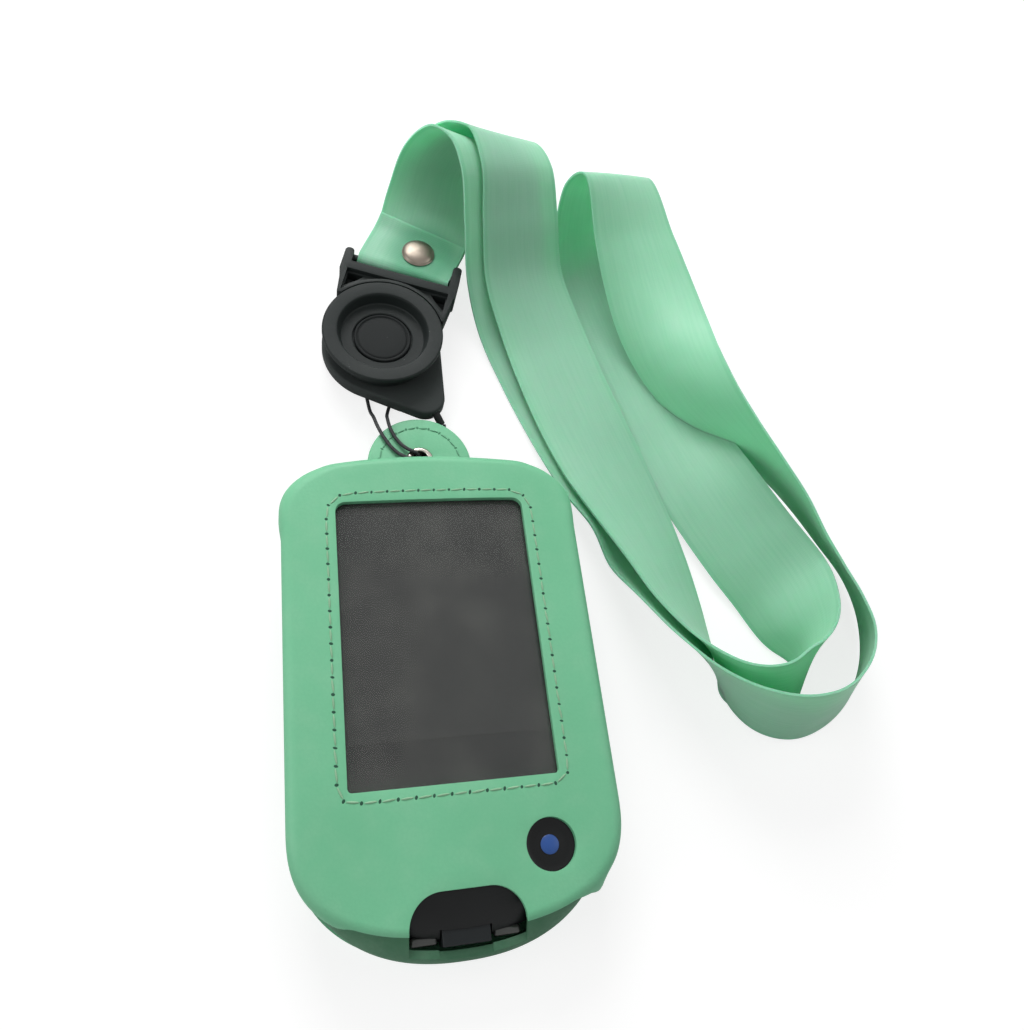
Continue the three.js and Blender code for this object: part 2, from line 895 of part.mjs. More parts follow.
const buildDot = () => rod(dotRadius, capTop, capTop + dotThick, buttonX, buttonY);

function buildSwitch() {
  const side = switchWidth * half;
  return join(
    block(buttonX - side, buttonX + side, buttonY - side, buttonY + side, boardTop, boardTop + switchThick),
    rod(domeRadius, boardTop + switchThick * half, switchTop, buttonX, buttonY),
  );
}

// Teardrop plate: a disc drawn out to a round tail that the cord leaves from
const tailWay = tail.clone().sub(buckle).normalize();

function tearShape() {
  const angle = tailWay.angle();
  const lean = Math.acos((buckleRadius - tailRadius) / tail.distanceTo(buckle));
  const shape = new THREE.Shape();
  shape.absarc(buckle.x, buckle.y, buckleRadius, angle + lean, angle - lean + Math.PI * 2, false);
  shape.absarc(tail.x, tail.y, tailRadius, angle - lean, angle + lean, false);
  return shape;
}

const alongTail = (reach) => tailWay.clone().multiplyScalar(reach).add(tail);

function sleevePoints(extra) {
  const root = alongTail(tailRadius * half - extra);
  const exit = alongTail(tailRadius);
  const end = alongTail(tailRadius + sleeveReach);
  return [
    [root.x, root.y, sleeveHeight],
    [exit.x, exit.y, sleeveHeight - sleeveDrop * half * half],
    [end.x, end.y, sleeveHeight - sleeveDrop],
  ];
}

function buildSwivelPlate() {
  const body = bevelled(tearShape(), plateLift, plateTop, edgeBreak, smallSteps);
  const clear = alongTail(buckleRadius);
  const step = rod(buckleRadius + tailRadius * half, 0, plateLift + tailStep, clear.x, clear.y, roundSteps);
  const socketFloor = plateTop - socketDepth;
  const socket = rod(socketRadius, socketFloor, plateTop + overrun, buckle.x, buckle.y, roundSteps);
  return cut(body, socket, step, cord(sleevePoints(seatGap), sleeveRadius + seatGap, cornerSteps));
}

const buildSleeve = () => cord(sleevePoints(0), sleeveRadius, cornerSteps);

// Snap stud: its foot clips in the plate's socket, its head turns in the yoke's base
const studFloor = plateTop - socketDepth + seatGap;
const headZ = baseTop - studHeadThick - seatGap;

function buildStud() {
  const foot = socketRadius - seatGap;
  const nip = seatGap;
  return turned([
    [0, studFloor],
    [foot - nip, studFloor],
    [foot, studFloor + nip],
    [foot, plateTop - nip],
    [studNeck, plateTop],
    [studNeck, headZ],
    [studHead, headZ],
    [studHead, headZ + studHeadThick],
    [0, headZ + studHeadThick],
  ], buckle.x, buckle.y);
}

// Yoke: a base disc under the ring, two posts, a braced web and the bar that the ribbon
// goes round. It is drawn with its axis along +Y and then turned.
const toYoke = (body) => body.rotate([0, 0, yokeAngle - 90]).translate([buckle.x, buckle.y, 0]);

function buildYoke() {
  const side = yokeWidth * half;
  const inner = side - postThick;
  const top = baseZ + yokeThick;
  const holeTop = webEnd - webBand;
  const disc = rod(buckleRadius - edgeBreak, baseZ, baseTop, 0, 0, roundSteps);
  const posts = [inner, -side].map((x) => block(x, x + postThick, yokeStart, postReach, baseZ, top));
  const web = block(-side, side, yokeStart, webEnd, baseZ, top);
  const holes = [1, -1].map((sign) => plate(new THREE.Shape([
    new THREE.Vector2(sign * (inner - webBand * half), holeTop - holeDepth),
    new THREE.Vector2(sign * (inner - webBand * half), holeTop),
    new THREE.Vector2(sign * holeReach, holeTop),
  ]), 0, caseHeight));
  const bar = new THREE.CylinderGeometry(barRadius, barRadius, inner * 2 + postThick, smallSteps);
  bar.rotateZ(Math.PI * half);
  bar.translate(0, barFrom, barHeight);
  const frame = cut(
    join(...posts, web),
    rod(buckleRadius + arcGap, baseTop, caseHeight, 0, 0, roundSteps + cornerSteps * 2),
    ...holes,
  );
  return toYoke(cut(
    join(frame, disc, solid(bar)),
    rod(studNeck + seatGap, 0, caseHeight, 0, 0),
    rod(studHead + seatGap, headZ, caseHeight, 0, 0, roundSteps),
  ));
}

// Ring: the round cup that stands on the yoke's base, with a floor round the hub cap
function buildRing() {
  const floorTop = baseTop + ringFloor;
  const outer = buckleRadius;
  return turned([
    [hubRadius + seatGap, baseTop],
    [outer - edgeBreak, baseTop],
    [outer, baseTop + edgeBreak],
    [outer, ringTop - edgeBreak],
    [outer - edgeBreak, ringTop],
    [recessRadius + edgeBreak * half, ringTop],
    [recessRadius, ringTop - edgeBreak * half],
    [recessRadius - recessDraft, floorTop],
    [hubRadius + seatGap, floorTop],
    [hubRadius + seatGap, baseTop],
  ], buckle.x, buckle.y, roundSteps + cornerSteps * 2);
}

const buildHubCap = () => turned([
  [0, baseTop],
  [hubRadius, baseTop],
  [hubRadius, baseTop + hubThick - edgeBreak * half],
  [hubRadius - edgeBreak * half, baseTop + hubThick],
  [0, baseTop + hubThick],
], buckle.x, buckle.y);

// The ribbon's route: each station is the middle of the band, with Y counted from the case's
// mouth, then the way its outer edge points. It starts at the rivet, arches over, runs down
// to the right, turns on edge, comes back over itself in a second arch and returns along the
// same way one layer higher.
const ribbonRoute = [
  [8.6, 84.3, 12.4, -0.92, 0.24, 0.3],
  [12.5, 92.7, 17.5, -0.83, 0.05, 0.54],
  [17.5, 95.2, 24, -0.78, -0.2, 0.58],
  [22, 90.7, 28.5, -0.82, -0.36, 0.44],
  [25.2, 83.2, 27.5, -0.87, -0.39, 0.3],
  [27.2, 73.7, 19, -0.92, -0.34, 0.2],
  [28.8, 63.2, 8, -0.94, -0.31, 0.16],
  [32, 51.2, 2, -0.95, -0.31, 0.06],
  [37.2, 34.7, 0.8, -0.95, -0.32, 0],
  [42.4, 18.7, 1, -0.95, -0.315, 0.03],
  [47.6, 2.4, 2.4, -0.935, -0.31, 0.15],
  [52.2, -11.1, 4.6, -0.9, -0.28, 0.33],
  [55, -22.9, 5, -0.93, -0.17, 0.34],
  [57.5, -33.7, 7.6, -0.82, -0.11, 0.56],
  [60, -43.7, 9.9, -0.67, 0, 0.74],
  [62.6, -53.5, 11.8, -0.52, 0.02, 0.85],
  [67.2, -59.3, 12.8, -0.38, 0.1, 0.91],
  [78.2, -64.7, 13, -0.14, 0.22, 0.96],
  [89, -63.6, 12.6, -0.18, 0.26, 0.94],
  [97, -59.6, 12.5, -0.22, 0.2, 0.95],
  [101.8, -54.9, 12.4, -0.31, 0.1, 0.95],
  [104.6, -49.3, 12.2, -0.38, 0.06, 0.92],
  [106.2, -42.5, 12, -0.43, -0.02, 0.9],
  [106.2, -37.3, 11.8, -0.46, -0.07, 0.88],
  [104.9, -31.3, 11.6, -0.5, -0.15, 0.85],
  [100.1, -19.1, 11.8, -0.42, -0.13, 0.9],
  [94.5, -6, 12.6, -0.37, -0.16, 0.92],
  [85.4, 7.7, 14.8, -0.27, -0.1, 0.955],
  [76.6, 19.4, 15.5, 0.01, 0.07, 1],
  [72.6, 32.4, 14.4, 0.3, 0.1, 0.95],
  [70.9, 44, 13.8, 0.66, 0.12, 0.74],
  [68.2, 55.3, 13, 0.91, 0.17, 0.37],
  [65.9, 65.5, 15.6, 0.97, 0.22, 0.1],
  [64.3, 76.2, 21, 0.95, 0.29, -0.1],
  [61.4, 87.7, 23, 0.91, 0.28, -0.3],
  [58.4, 90.8, 15.8, 0.92, 0.28, -0.3],
  [57.2, 83.7, 6.5, 0.94, 0.25, -0.22],
  [58, 73.7, 1.8, 0.97, 0.2, -0.06],
  [59.8, 63.7, 0.8, 0.98, 0.19, 0],
  [61.8, 52.2, 0.8, 0.98, 0.2, 0],
  [65.2, 37.7, 0.8, 0.975, 0.22, 0],
  [69.2, 21.7, 0.8, 0.97, 0.24, 0],
  [74.4, 5.9, 1.5, 0.96, 0.26, 0.06],
  [79.5, -8.2, 5, 0.92, 0.24, 0.34],
  [82.7, -20.6, 8, 0.8, 0.3, 0.52],
  [86.4, -32.8, 9.6, 0.62, 0.38, 0.69],
  [88.9, -44.8, 12.8, 0.2, 0.32, 0.93],
  [85.7, -55.4, 13.4, -0.12, 0.36, 0.93],
  [76.2, -56.9, 13.6, -0.2, 0.26, 0.94],
  [69, -52.3, 13.2, -0.36, 0.12, 0.92],
  [63.5, -44.1, 12, -0.54, -0.11, 0.8],
  [58.6, -33.3, 10.4, -0.76, -0.1, 0.64],
  [55.8, -20.8, 8.2, -0.86, -0.14, 0.48],
  [52.2, -7.5, 5.8, -0.92, -0.2, 0.31],
  [48.8, 5.2, 3.8, -0.955, -0.24, 0.15],
  [45.2, 18.7, 2.9, -0.965, -0.25, 0.06],
  [41.4, 33.7, 2.8, -0.965, -0.26, 0.05],
  [38, 48.7, 3.6, -0.96, -0.27, 0.07],
  [34, 63.9, 8.3, -0.94, -0.32, 0.15],
  [32.3, 74.7, 18.9, -0.92, -0.34, 0.2],
  [30.9, 85.1, 27.4, -0.87, -0.39, 0.3],
  [27.6, 95, 28, -0.82, -0.36, 0.44],
  [21.3, 98.6, 21.8, -0.78, -0.2, 0.58],
  [14.5, 94.8, 14.7, -0.83, 0.05, 0.54],
  [9.1, 85.6, 9.6, -0.92, 0.24, 0.28],
];

// Near the buckle the ribbon's places are taken along the yoke: its first end lies between
// the other end and the flap, and the other end goes under the bar and back as the flap
const yokeWay = new THREE.Vector2(Math.cos(yokeAngle * deg), Math.sin(yokeAngle * deg));

function alongYoke(from, aside = ribbonShift) {
  const across = new THREE.Vector2(yokeWay.y, -yokeWay.x).multiplyScalar(aside);
  return yokeWay.clone().multiplyScalar(from).add(across).add(buckle);
}

function yokeStation(from, z, aside = ribbonShift) {
  const place = alongYoke(from, aside);
  return [place.x, place.y, z, -yokeWay.y, yokeWay.x, 0];
}

const fromMouth = ([x, y, ...rest]) => [x, y + mouthY, ...rest];

const lowLayer = barHeight - layerStep * half * half;
const midLayer = lowLayer + layerStep;
const topLayer = midLayer + layerStep;

function ribbonStations() {
  const wrap = barRadius + seatGap + ribbonThick * half;
  const turn = [];
  for (let i = 0; i <= cornerSteps; i += 1) {
    const a = -Math.PI * (half + i / cornerSteps);
    turn.push(yokeStation(barFrom + wrap * Math.cos(a), barHeight + wrap * Math.sin(a)));
  }
  const flat = rivetFrom - rivetRadius;
  const past = rivetFrom + rivetRadius;
  return [
    yokeStation(ribbonStart, midLayer),
    yokeStation(rivetFrom, midLayer),
    yokeStation(past, midLayer),
    yokeStation(flapEnd, midLayer + layerRise, legShift),
    ...ribbonRoute.map(fromMouth),
    yokeStation(flapEnd, lowLayer, legShift),
    yokeStation(past, lowLayer),
    yokeStation(rivetFrom, lowLayer),
    yokeStation(rivetFrom - washerRadius, lowLayer),
    ...turn,
    yokeStation(flat, topLayer),
    yokeStation(rivetFrom, topLayer),
    yokeStation(past, topLayer),
    yokeStation(flapEnd, topLayer + layerStep),
  ];
}

const ribbonTwist = Math.PI * ribbonTwistShare;

// Even steps along the stations, each with the band's middle, its edge way and its face way
function ribbonFrames() {
  const stations = ribbonStations();
  const spans = stations.length - 1;
  const middle = new THREE.CatmullRomCurve3(
    stations.map(([x, y, z]) => new THREE.Vector3(x, y, z)),
    false,
    "centripetal",
  );
  const edges = stations.map((station) => new THREE.Vector3(...station.slice(3)).normalize());
  const frames = [];
  for (let i = 0; i < spans; i += 1) {
    const chord = middle.getPoint(i / spans).distanceTo(middle.getPoint((i + 1) / spans));
    const twist = edges[i].angleTo(edges[i + 1]);
    const parts = Math.max(1, Math.round(chord / ribbonStep), Math.ceil(twist / ribbonTwist));
    for (let k = 0; k < parts + (i + 1 === spans ? 1 : 0); k += 1) {
      const t = (i + k / parts) / spans;
      const way = middle.getTangent(t);
      const edge = edges[i].clone().lerp(edges[i + 1], k / parts);
      edge.addScaledVector(way, -edge.dot(way)).normalize();
      frames.push({ centre: middle.getPoint(t), edge, face: way.clone().cross(edge) });
    }
  }
  return frames;
}

function buildRibbon() {
  const rings = ribbonFrames().map(({ centre, edge, face }) => [
    [1, 1],
    [0, 1],
    [-1, 1],
    [-1, -1],
    [0, -1],
    [1, -1],
  ].map(([wide, thick]) => centre.clone()
    .addScaledVector(edge, wide * ribbonWidth * half)
    .addScaledVector(face, thick * ribbonThick * half)));
  const under = (side) => side >= sidesAcross;
  const band = skin(rings, [[0, 1, 5], [1, 4, 5], [1, 2, 4], [2, 3, 4]], under);
  const place = alongYoke(rivetFrom, ribbonShift + rivetShift);
  return cut(band, rod(rivetPost + seatGap, 0, caseHeight, place.x, place.y));
}

// Rivet: a domed cap with its post through the three layers, and a washer below them
const rivetTop = topLayer + ribbonThick * half;
const rivetFoot = lowLayer - ribbonThick * half;

function buildRivetCap() {
  const place = alongYoke(rivetFrom, ribbonShift + rivetShift);
  const low = rivetFoot - washerThick * 2;
  const dome = [];
  for (let i = 0; i < cornerSteps; i += 1) {
    const a = (Math.PI * half * i) / cornerSteps;
    dome.push([rivetRadius * Math.cos(a), rivetTop + seatGap + rivetDome * Math.sin(a)]);
  }
  return turned([
    [0, low],
    [rivetPost, low],
    [rivetPost, rivetTop],
    [rivetRadius, rivetTop],
    ...dome,
    [0, rivetTop + seatGap + rivetDome],
  ], place.x, place.y, smallSteps + cornerSteps);
}

function buildRivetWasher() {
  const place = alongYoke(rivetFrom, ribbonShift + rivetShift);
  const bore = rivetPost + seatGap;
  return turned([
    [bore, rivetFoot - washerThick * 2],
    [washerRadius, rivetFoot - washerThick * 2],
    [washerRadius, rivetFoot],
    [bore, rivetFoot],
    [bore, rivetFoot - washerThick * 2],
  ], place.x, place.y, smallSteps);
}

// The string's route, with Y counted from the mouth: from the sleeve under the tab, up
// through the eyelet, over the tab to the left, under the teardrop plate, and back the same
// way beside itself
const stringRoute = [
  [6.7, 16.2, 0.75],
  [4.4, 12.6, 0.75],
  [2.2, 9.9, 0.75],
  [0.9, 8.8, 1.2],
  [0.5, 8.4, 2.8],
  [0.3, 8.5, 4.6],
  [-0.7, 9, 5.75],
  [-2.5, 10.1, 5.5],
  [-4.2, 12, 5.15],
  [-5.6, 14.3, 5.2],
  [-6.5, 16.9, 5.3],
  [-6.8, 19.5, 4.6],
  [-6.6, 21.7, 2.2],
  [-6.2, 23.7, 0.6],
  [-5.4, 26.5, 0.55],
  [-5, 30.2, 0.55],
  [-5.8, 34.7, 0.55],
  [-8.2, 37, 0.55],
  [-10.8, 34.9, 0.55],
  [-11.4, 30.2, 0.55],
  [-11, 25.7, 0.7],
  [-10.7, 22.7, 2.2],
  [-10.2, 19.9, 4.4],
  [-9.4, 16.7, 5.2],
  [-8, 13.5, 5.2],
  [-6.4, 10.9, 5.1],
  [-4.6, 8.9, 5.2],
  [-2.8, 7.6, 5.6],
  [-1, 7, 5.75],
  [0.3, 7, 4.6],
  [0.6, 6.9, 2.8],
  [1.2, 7.1, 1.2],
  [3, 8.3, 0.75],
  [5.5, 11.6, 0.75],
  [7.9, 15.5, 0.75],
];

function buildString() {
  const end = alongTail(tailRadius + sleeveReach + seatGap);
  const across = new THREE.Vector2(-tailWay.y, tailWay.x).multiplyScalar(cordSpread);
  const ends = [-1, 1].map((sign) => [
    end.x + sign * across.x,
    end.y + sign * across.y,
    sleeveHeight - sleeveDrop - seatGap * half,
  ]);
  return cord([ends[0], ...stringRoute.map(fromMouth), ends[1]], cordWidth * half, cordSteps);
}

// Assembly: the case, then the meter, then the buckle and lanyard
piece("front_panel", buildFrontPanel(), "panelLeather");
piece("side_gusset", buildGusset(), "gussetLeather");
piece("back_panel", buildBackPanel(), "backLeather");
piece("tab_facing", buildTabFacing(), "panelLeather");
piece("window_film", buildFilm(), "film");
piece("eyelet", buildEyelet(), "steel");
piece("eyelet_washer", buildWasher(), "steel");

piece("meter_front_housing", buildFrontHousing(), "housing");
piece("meter_rear_housing", buildRearHousing(), "rearHousing");
piece("display_glass", buildGlass(), "glass");
piece("display_module", buildScreen(), "screen");
piece("main_board", buildBoard(), "board");
piece("battery", buildBattery(), "battery");
piece("antenna_coil", buildCoil(), "copper");
piece("buzzer", buildBuzzer(), "connector");
piece("charging_socket", buildUsbSocket(), "steel");
piece("strip_port_bezel", buildPortBezel(), "connector");
piece("button_switch", buildSwitch(), "steel");
bossPlaces.forEach((place, i) => piece(`housing_screw_${i + 1}`, buildScrew(place), "steel"));
piece("home_button", buildHomeButton(), "button");
piece("button_dot", buildDot(), "dot");

piece("swivel_plate", buildSwivelPlate(), "buckle");
piece("swivel_stud", buildStud(), "buckle");
piece("yoke", buildYoke(), "buckle");
piece("buckle_ring", buildRing(), "buckle");
piece("hub_cap", buildHubCap(), "buckle");
piece("lanyard_ribbon", buildRibbon(), "ribbon");
piece("rivet_cap", buildRivetCap(), "steel");
piece("rivet_washer", buildRivetWasher(), "steel");
piece("cord_sleeve", buildSleeve(), "cord");
piece("tether_string", buildString(), "cord");

export default part;
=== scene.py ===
"""Looks of a leather neck case with a glucose meter, its swivel buckle and its ribbon lanyard.

Meshes are shaped in millimetres and finished in metres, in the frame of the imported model.
"""

import logging  # noqa: E402
import math  # noqa: E402
from collections.abc import Callable, Iterable, Iterator, Sequence  # noqa: E402
from dataclasses import dataclass, field  # noqa: E402
from enum import Enum  # noqa: E402
from typing import TypeAlias  # noqa: E402

import bmesh  # noqa: E402
import bpy  # noqa: E402
from mathutils import Matrix, Vector, noise  # noqa: E402


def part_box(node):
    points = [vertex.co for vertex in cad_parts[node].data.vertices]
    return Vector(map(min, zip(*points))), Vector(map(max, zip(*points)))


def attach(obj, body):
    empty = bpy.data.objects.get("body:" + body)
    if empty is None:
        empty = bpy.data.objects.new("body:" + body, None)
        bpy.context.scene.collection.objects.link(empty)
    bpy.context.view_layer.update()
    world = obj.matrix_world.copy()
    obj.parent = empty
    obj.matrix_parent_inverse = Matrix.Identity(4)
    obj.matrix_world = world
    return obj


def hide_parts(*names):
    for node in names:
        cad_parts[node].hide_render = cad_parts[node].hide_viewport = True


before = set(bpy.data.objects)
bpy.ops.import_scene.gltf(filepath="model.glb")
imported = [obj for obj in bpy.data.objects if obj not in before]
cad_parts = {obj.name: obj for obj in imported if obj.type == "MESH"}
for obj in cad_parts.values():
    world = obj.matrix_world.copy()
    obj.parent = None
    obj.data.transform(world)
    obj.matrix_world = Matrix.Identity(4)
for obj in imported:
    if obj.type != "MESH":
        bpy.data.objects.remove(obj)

log = logging.getLogger("neck_case")

Value: TypeAlias = "float | tuple | Signal"
Step: TypeAlias = tuple[str, dict]

MM = 0.001
TURN = math.tau
MOUTH = 52.35  # how far up the screen's way the case's mouth lies
BUTTON = (17.6, -33.65)  # where the meter's button stands


# ---------------------------------------------------------------- shader tools


def tint(code: str) -> tuple[float, float, float, float]:
    """Turns a colour as it is seen on a screen into the renderer's linear colour.

    Args:
        code: Six hexadecimal digits.

    Returns:
        Red, green, blue and an alpha of 1.
    """
    parts = [int(code[i : i + 2], 16) / 255 for i in (0, 2, 4)]
    line = [p / 12.92 if p <= 0.04045 else ((p + 0.055) / 1.055) ** 2.4 for p in parts]
    return (line[0], line[1], line[2], 1.0)


@dataclass(frozen=True)
class Signal:
    """A socket of a material's nodes that can stand in a sum."""

    desk: "Desk"
    socket: bpy.types.NodeSocket

    def __add__(self, other: Value) -> "Signal":
        """Adds a value."""
        return self.desk.math("ADD", self, other)

    __radd__ = __add__

    def __mul__(self, other: Value) -> "Signal":
        """Multiplies by a value."""
        return self.desk.math("MULTIPLY", self, other)

    __rmul__ = __mul__

    def __sub__(self, other: Value) -> "Signal":
        """Takes a value away."""
        return self.desk.math("SUBTRACT", self, other)

    def __rsub__(self, other: Value) -> "Signal":
        """Takes this away from a value."""
        return self.desk.math("SUBTRACT", other, self)

    def __abs__(self) -> "Signal":
        """Drops the sign."""
        return self.desk.math("ABSOLUTE", self)

    def sine(self) -> "Signal":
        """The sine of this."""
        return self.desk.math("SINE", self)

    def ramp(self, low: float, high: float) -> "Signal":
        """Rises smoothly from 0 at low to 1 at high.

        Args:
            low: The value that gives 0.
            high: The value that gives 1.

        Returns:
            The share between them.
        """
        settings = {"interpolation_type": "SMOOTHSTEP"}
        inputs = {0: self, 1: low, 2: high, 3: 0.0, 4: 1.0}
        return self.desk.node("ShaderNodeMapRange", settings, inputs)


class Desk:
    """The node tree of one material, or of the sky."""

    def __init__(self, owner: bpy.types.Material | bpy.types.World) -> None:
        """Starts an empty tree.

        Args:
            owner: What the tree belongs to.
        """
        owner.use_nodes = True
        self.owner = owner
        self.tree = owner.node_tree
        self.tree.nodes.clear()

    @classmethod
    def material(cls, name: str) -> "Desk":
        """Starts a new material of that name."""
        return cls(bpy.data.materials.new(name))

    def node(
        self,
        kind: str,
        settings: dict | None = None,
        inputs: dict | None = None,
        output: int | str = 0,
    ) -> Signal:
        """Adds a node, sets it and feeds its sockets.

        Args:
            kind: The node's type.
            settings: Its own settings.
            inputs: Values or signals by socket name or number.
            output: The output to hand on.

        Returns:
            That output.
        """
        made = self.tree.nodes.new(kind)
        for key, value in (settings or {}).items():
            setattr(made, key, value)
        for key, value in (inputs or {}).items():
            socket = made.inputs[key]
            if isinstance(value, Signal):
                self.tree.links.new(value.socket, socket)
            else:
                socket.default_value = value
        return Signal(self, made.outputs[output])

    def math(self, operation: str, *values: Value) -> Signal:
        """Adds one Math node on the values."""
        return self.node("ShaderNodeMath", {"operation": operation}, dict(enumerate(values)))

    def mix(self, share: Value, first: Value, second: Value) -> Signal:
        """Mixes two colours by a share."""
        return self.node("ShaderNodeMix", {"data_type": "RGBA"}, {0: share, 6: first, 7: second}, 2)

    def place(
        self, scale: tuple[float, float, float] = (1, 1, 1), source: str = "Object"
    ) -> Signal:
        """A point of the surface.

        Args:
            scale: How much each direction is stretched.
            source: The texture coordinate's output.

        Returns:
            The scaled coordinate.
        """
        point = self.node("ShaderNodeTexCoord", output=source)
        return self.node("ShaderNodeMapping", None, {"Vector": point, "Scale": scale})

    def split(self, point: Signal) -> tuple[Signal, Signal, Signal]:
        """Takes a point apart.

        Args:
            point: The point.

        Returns:
            Its three parts.
        """
        first = self.node("ShaderNodeSeparateXYZ", None, {0: point})
        outputs = first.socket.node.outputs
        return first, Signal(self, outputs[1]), Signal(self, outputs[2])

    def noise(self, point: Signal, scale: float, detail: float, rough: float = 0.5) -> Signal:
        """Soft noise at that many waves per metre."""
        inputs = {"Vector": point, "Scale": scale, "Detail": detail, "Roughness": rough}
        return self.node("ShaderNodeTexNoise", None, inputs)

    def cells(self, point: Signal, scale: float) -> Signal:
        """Distance to the nearest of scattered points, at that many per metre."""
        return self.node("ShaderNodeTexVoronoi", None, {"Vector": point, "Scale": scale})

    def bump(self, height: Signal, depth: float, strength: float) -> Signal:
        """A normal bent by a height of that depth in metres."""
        inputs = {"Height": height, "Distance": depth, "Strength": strength}
        return self.node("ShaderNodeBump", None, inputs)

    def finish(self, **inputs: Value) -> bpy.types.Material:
        """Closes the material with the main shader.

        Args:
            **inputs: Its sockets, with spaces written as underscores.

        Returns:
            The material.
        """
        named = {key.replace("_", " "): value for key, value in inputs.items()}
        self.end(self.node("ShaderNodeBsdfPrincipled", None, named))
        return self.owner

    def end(self, shader: Signal, kind: str = "ShaderNodeOutputMaterial") -> None:
        """Feeds the tree's output, a node of that kind."""
        self.tree.links.new(shader.socket, self.tree.nodes.new(kind).inputs[0])


# ---------------------------------------------------------------- finishes


@dataclass(frozen=True)
class Leather:
    """Coated leather with a fine pebbled grain."""

    name: str
    colour: str
    shade: str
    light: str = "B9E2C6"
    rough: float = 0.5
    grain: float = 1500.0
    depth: float = 0.00005
    clouds: float = 38.0
    patches: float = 160.0

    def material(self) -> bpy.types.Material:
        """Builds the material.

        Returns:
            The material.
        """
        desk = Desk.material(self.name)
        point = desk.place()
        pebble = desk.cells(point, self.grain)
        fine = desk.noise(point, self.grain * 2.4, 3.0)
        cloud = desk.noise(point, self.clouds, 2.0).ramp(0.3, 0.75)
        patch = desk.noise(point, self.patches, 3.0).ramp(0.35, 0.8)
        body = desk.mix(cloud * 0.5, tint(self.colour), tint(self.shade))
        body = desk.mix(patch * 0.1, body, tint(self.light))
        body = desk.mix(pebble.ramp(0.35, 0.75) * 0.12, body, tint(self.shade))
        return desk.finish(
            Base_Color=body,
            Roughness=self.rough + (fine - 0.5) * 0.16,
            Specular_IOR_Level=0.4,
            Normal=desk.bump(pebble * 0.65 + fine * 0.35, self.depth, 0.55),
        )


@dataclass(frozen=True)
class CutEdge:
    """The raw fibres of a cut sheet."""

    name: str
    colour: str
    fibre: str
    strands: float = 2600.0
    knots: float = 420.0
    depth: float = 0.0001

    def material(self) -> bpy.types.Material:
        """Builds the material.

        Returns:
            The material.
        """
        desk = Desk.material(self.name)
        point = desk.place((1, 1, 3))
        strand = desk.noise(point, self.strands, 4.0, 0.7)
        knot = desk.noise(point, self.knots, 2.0).ramp(0.35, 0.7)
        body = desk.mix(strand.ramp(0.3, 0.7), tint(self.colour), tint(self.fibre))
        body = desk.mix(knot * 0.4, body, tint(self.fibre))
        return desk.finish(
            Base_Color=body,
            Roughness=0.85 + (strand - 0.5) * 0.2,
            Normal=desk.bump(strand, self.depth, 0.8),
        )


@dataclass(frozen=True)
class Thread:
    """Twisted sewing thread."""

    name: str
    colour: str
    shade: str
    ply: float = 0.00028
    depth: float = 0.00005
    soiling: float = 300.0

    def material(self) -> bpy.types.Material:
        """Builds the material.

        Returns:
            The material.
        """
        desk = Desk.material(self.name)
        point = desk.place()
        across, along, up = desk.split(point)
        twist = ((across + along + up * 2.0) * (TURN / self.ply)).sine() * 0.5 + 0.5
        soil = desk.noise(point, self.soiling, 2.0).ramp(0.3, 0.7)
        body = desk.mix(twist * 0.5, tint(self.colour), tint(self.shade))
        body = desk.mix(soil * 0.25, body, tint(self.shade))
        return desk.finish(
            Base_Color=body, Roughness=0.6 + soil * 0.2, Normal=desk.bump(twist, self.depth, 0.7)
        )


@dataclass(frozen=True)
class Satin:
    """Woven satin ribbon: close ribs across, floats along, a tight edge, and painted shade round
    the rivet.
    """

    name: str
    colour: str
    deep: str
    width: float
    # The next three fields are the centre, the fading reach and the colour of the painted shade
    # round the rivet.
    rivet_shade_centre: Vector
    reach: tuple[float, float] = (0.006, 0.0135)
    dark: str = "3E9C72"
    light: str = "B4E6C8"
    rib_pitch: float = 0.00052
    float_pitch: float = 0.00034
    selvedge: tuple[float, float] = (0.0014, 0.0009)
    depth: float = 0.00004

    def material(self) -> bpy.types.Material:
        """Builds the material.

        Returns:
            The material.
        """
        desk = Desk.material(self.name)
        near = desk.node(
            "ShaderNodeVectorMath",
            {"operation": "DISTANCE"},
            {0: desk.place(), 1: tuple(self.rivet_shade_centre)},
            "Value",
        )
        along, across, _ = desk.split(desk.place(source="UV"))
        rib = (along * (TURN / self.rib_pitch)).sine() * 0.5 + 0.5
        sway = (along * (TURN / (self.rib_pitch * 2))).sine() * 1.4
        floats = (across * (TURN / self.float_pitch) + sway).sine() * 0.5 + 0.5
        start, full = (self.width / 2 - inset for inset in self.selvedge)
        edge = abs(across - self.width / 2).ramp(start, full)
        streak = desk.noise(desk.place((60, 1400, 1), "UV"), 1.0, 3.0).ramp(0.3, 0.72)
        cloud = desk.noise(desk.place((35, 60, 1), "UV"), 1.0, 2.0).ramp(0.3, 0.75)
        body = desk.mix(streak * 0.22, tint(self.colour), tint(self.deep))
        body = desk.mix(cloud * 0.18, body, tint(self.deep))
        body = desk.mix(edge * 0.35, body, tint(self.deep))
        # painted shade round the rivet: full within the reach's first distance, gone past its
        # second
        body = desk.mix((1.0 - near.ramp(*self.reach)) * 0.75, body, tint(self.dark))
        body = desk.mix(floats * rib * 0.12, body, tint(self.light))
        return desk.finish(
            Base_Color=body,
            Roughness=0.52 + (streak - 0.5) * 0.14 + edge * 0.12,
            Specular_IOR_Level=0.3,
            Sheen_Weight=0.15,
            Sheen_Roughness=0.4,
            Subsurface_Weight=0.7,
            Subsurface_Radius=(0.5, 1.0, 0.72),
            Subsurface_Scale=0.002,
            Normal=desk.bump(rib * 0.4 + floats * 0.35 - edge * 0.25, self.depth, 0.45),
        )


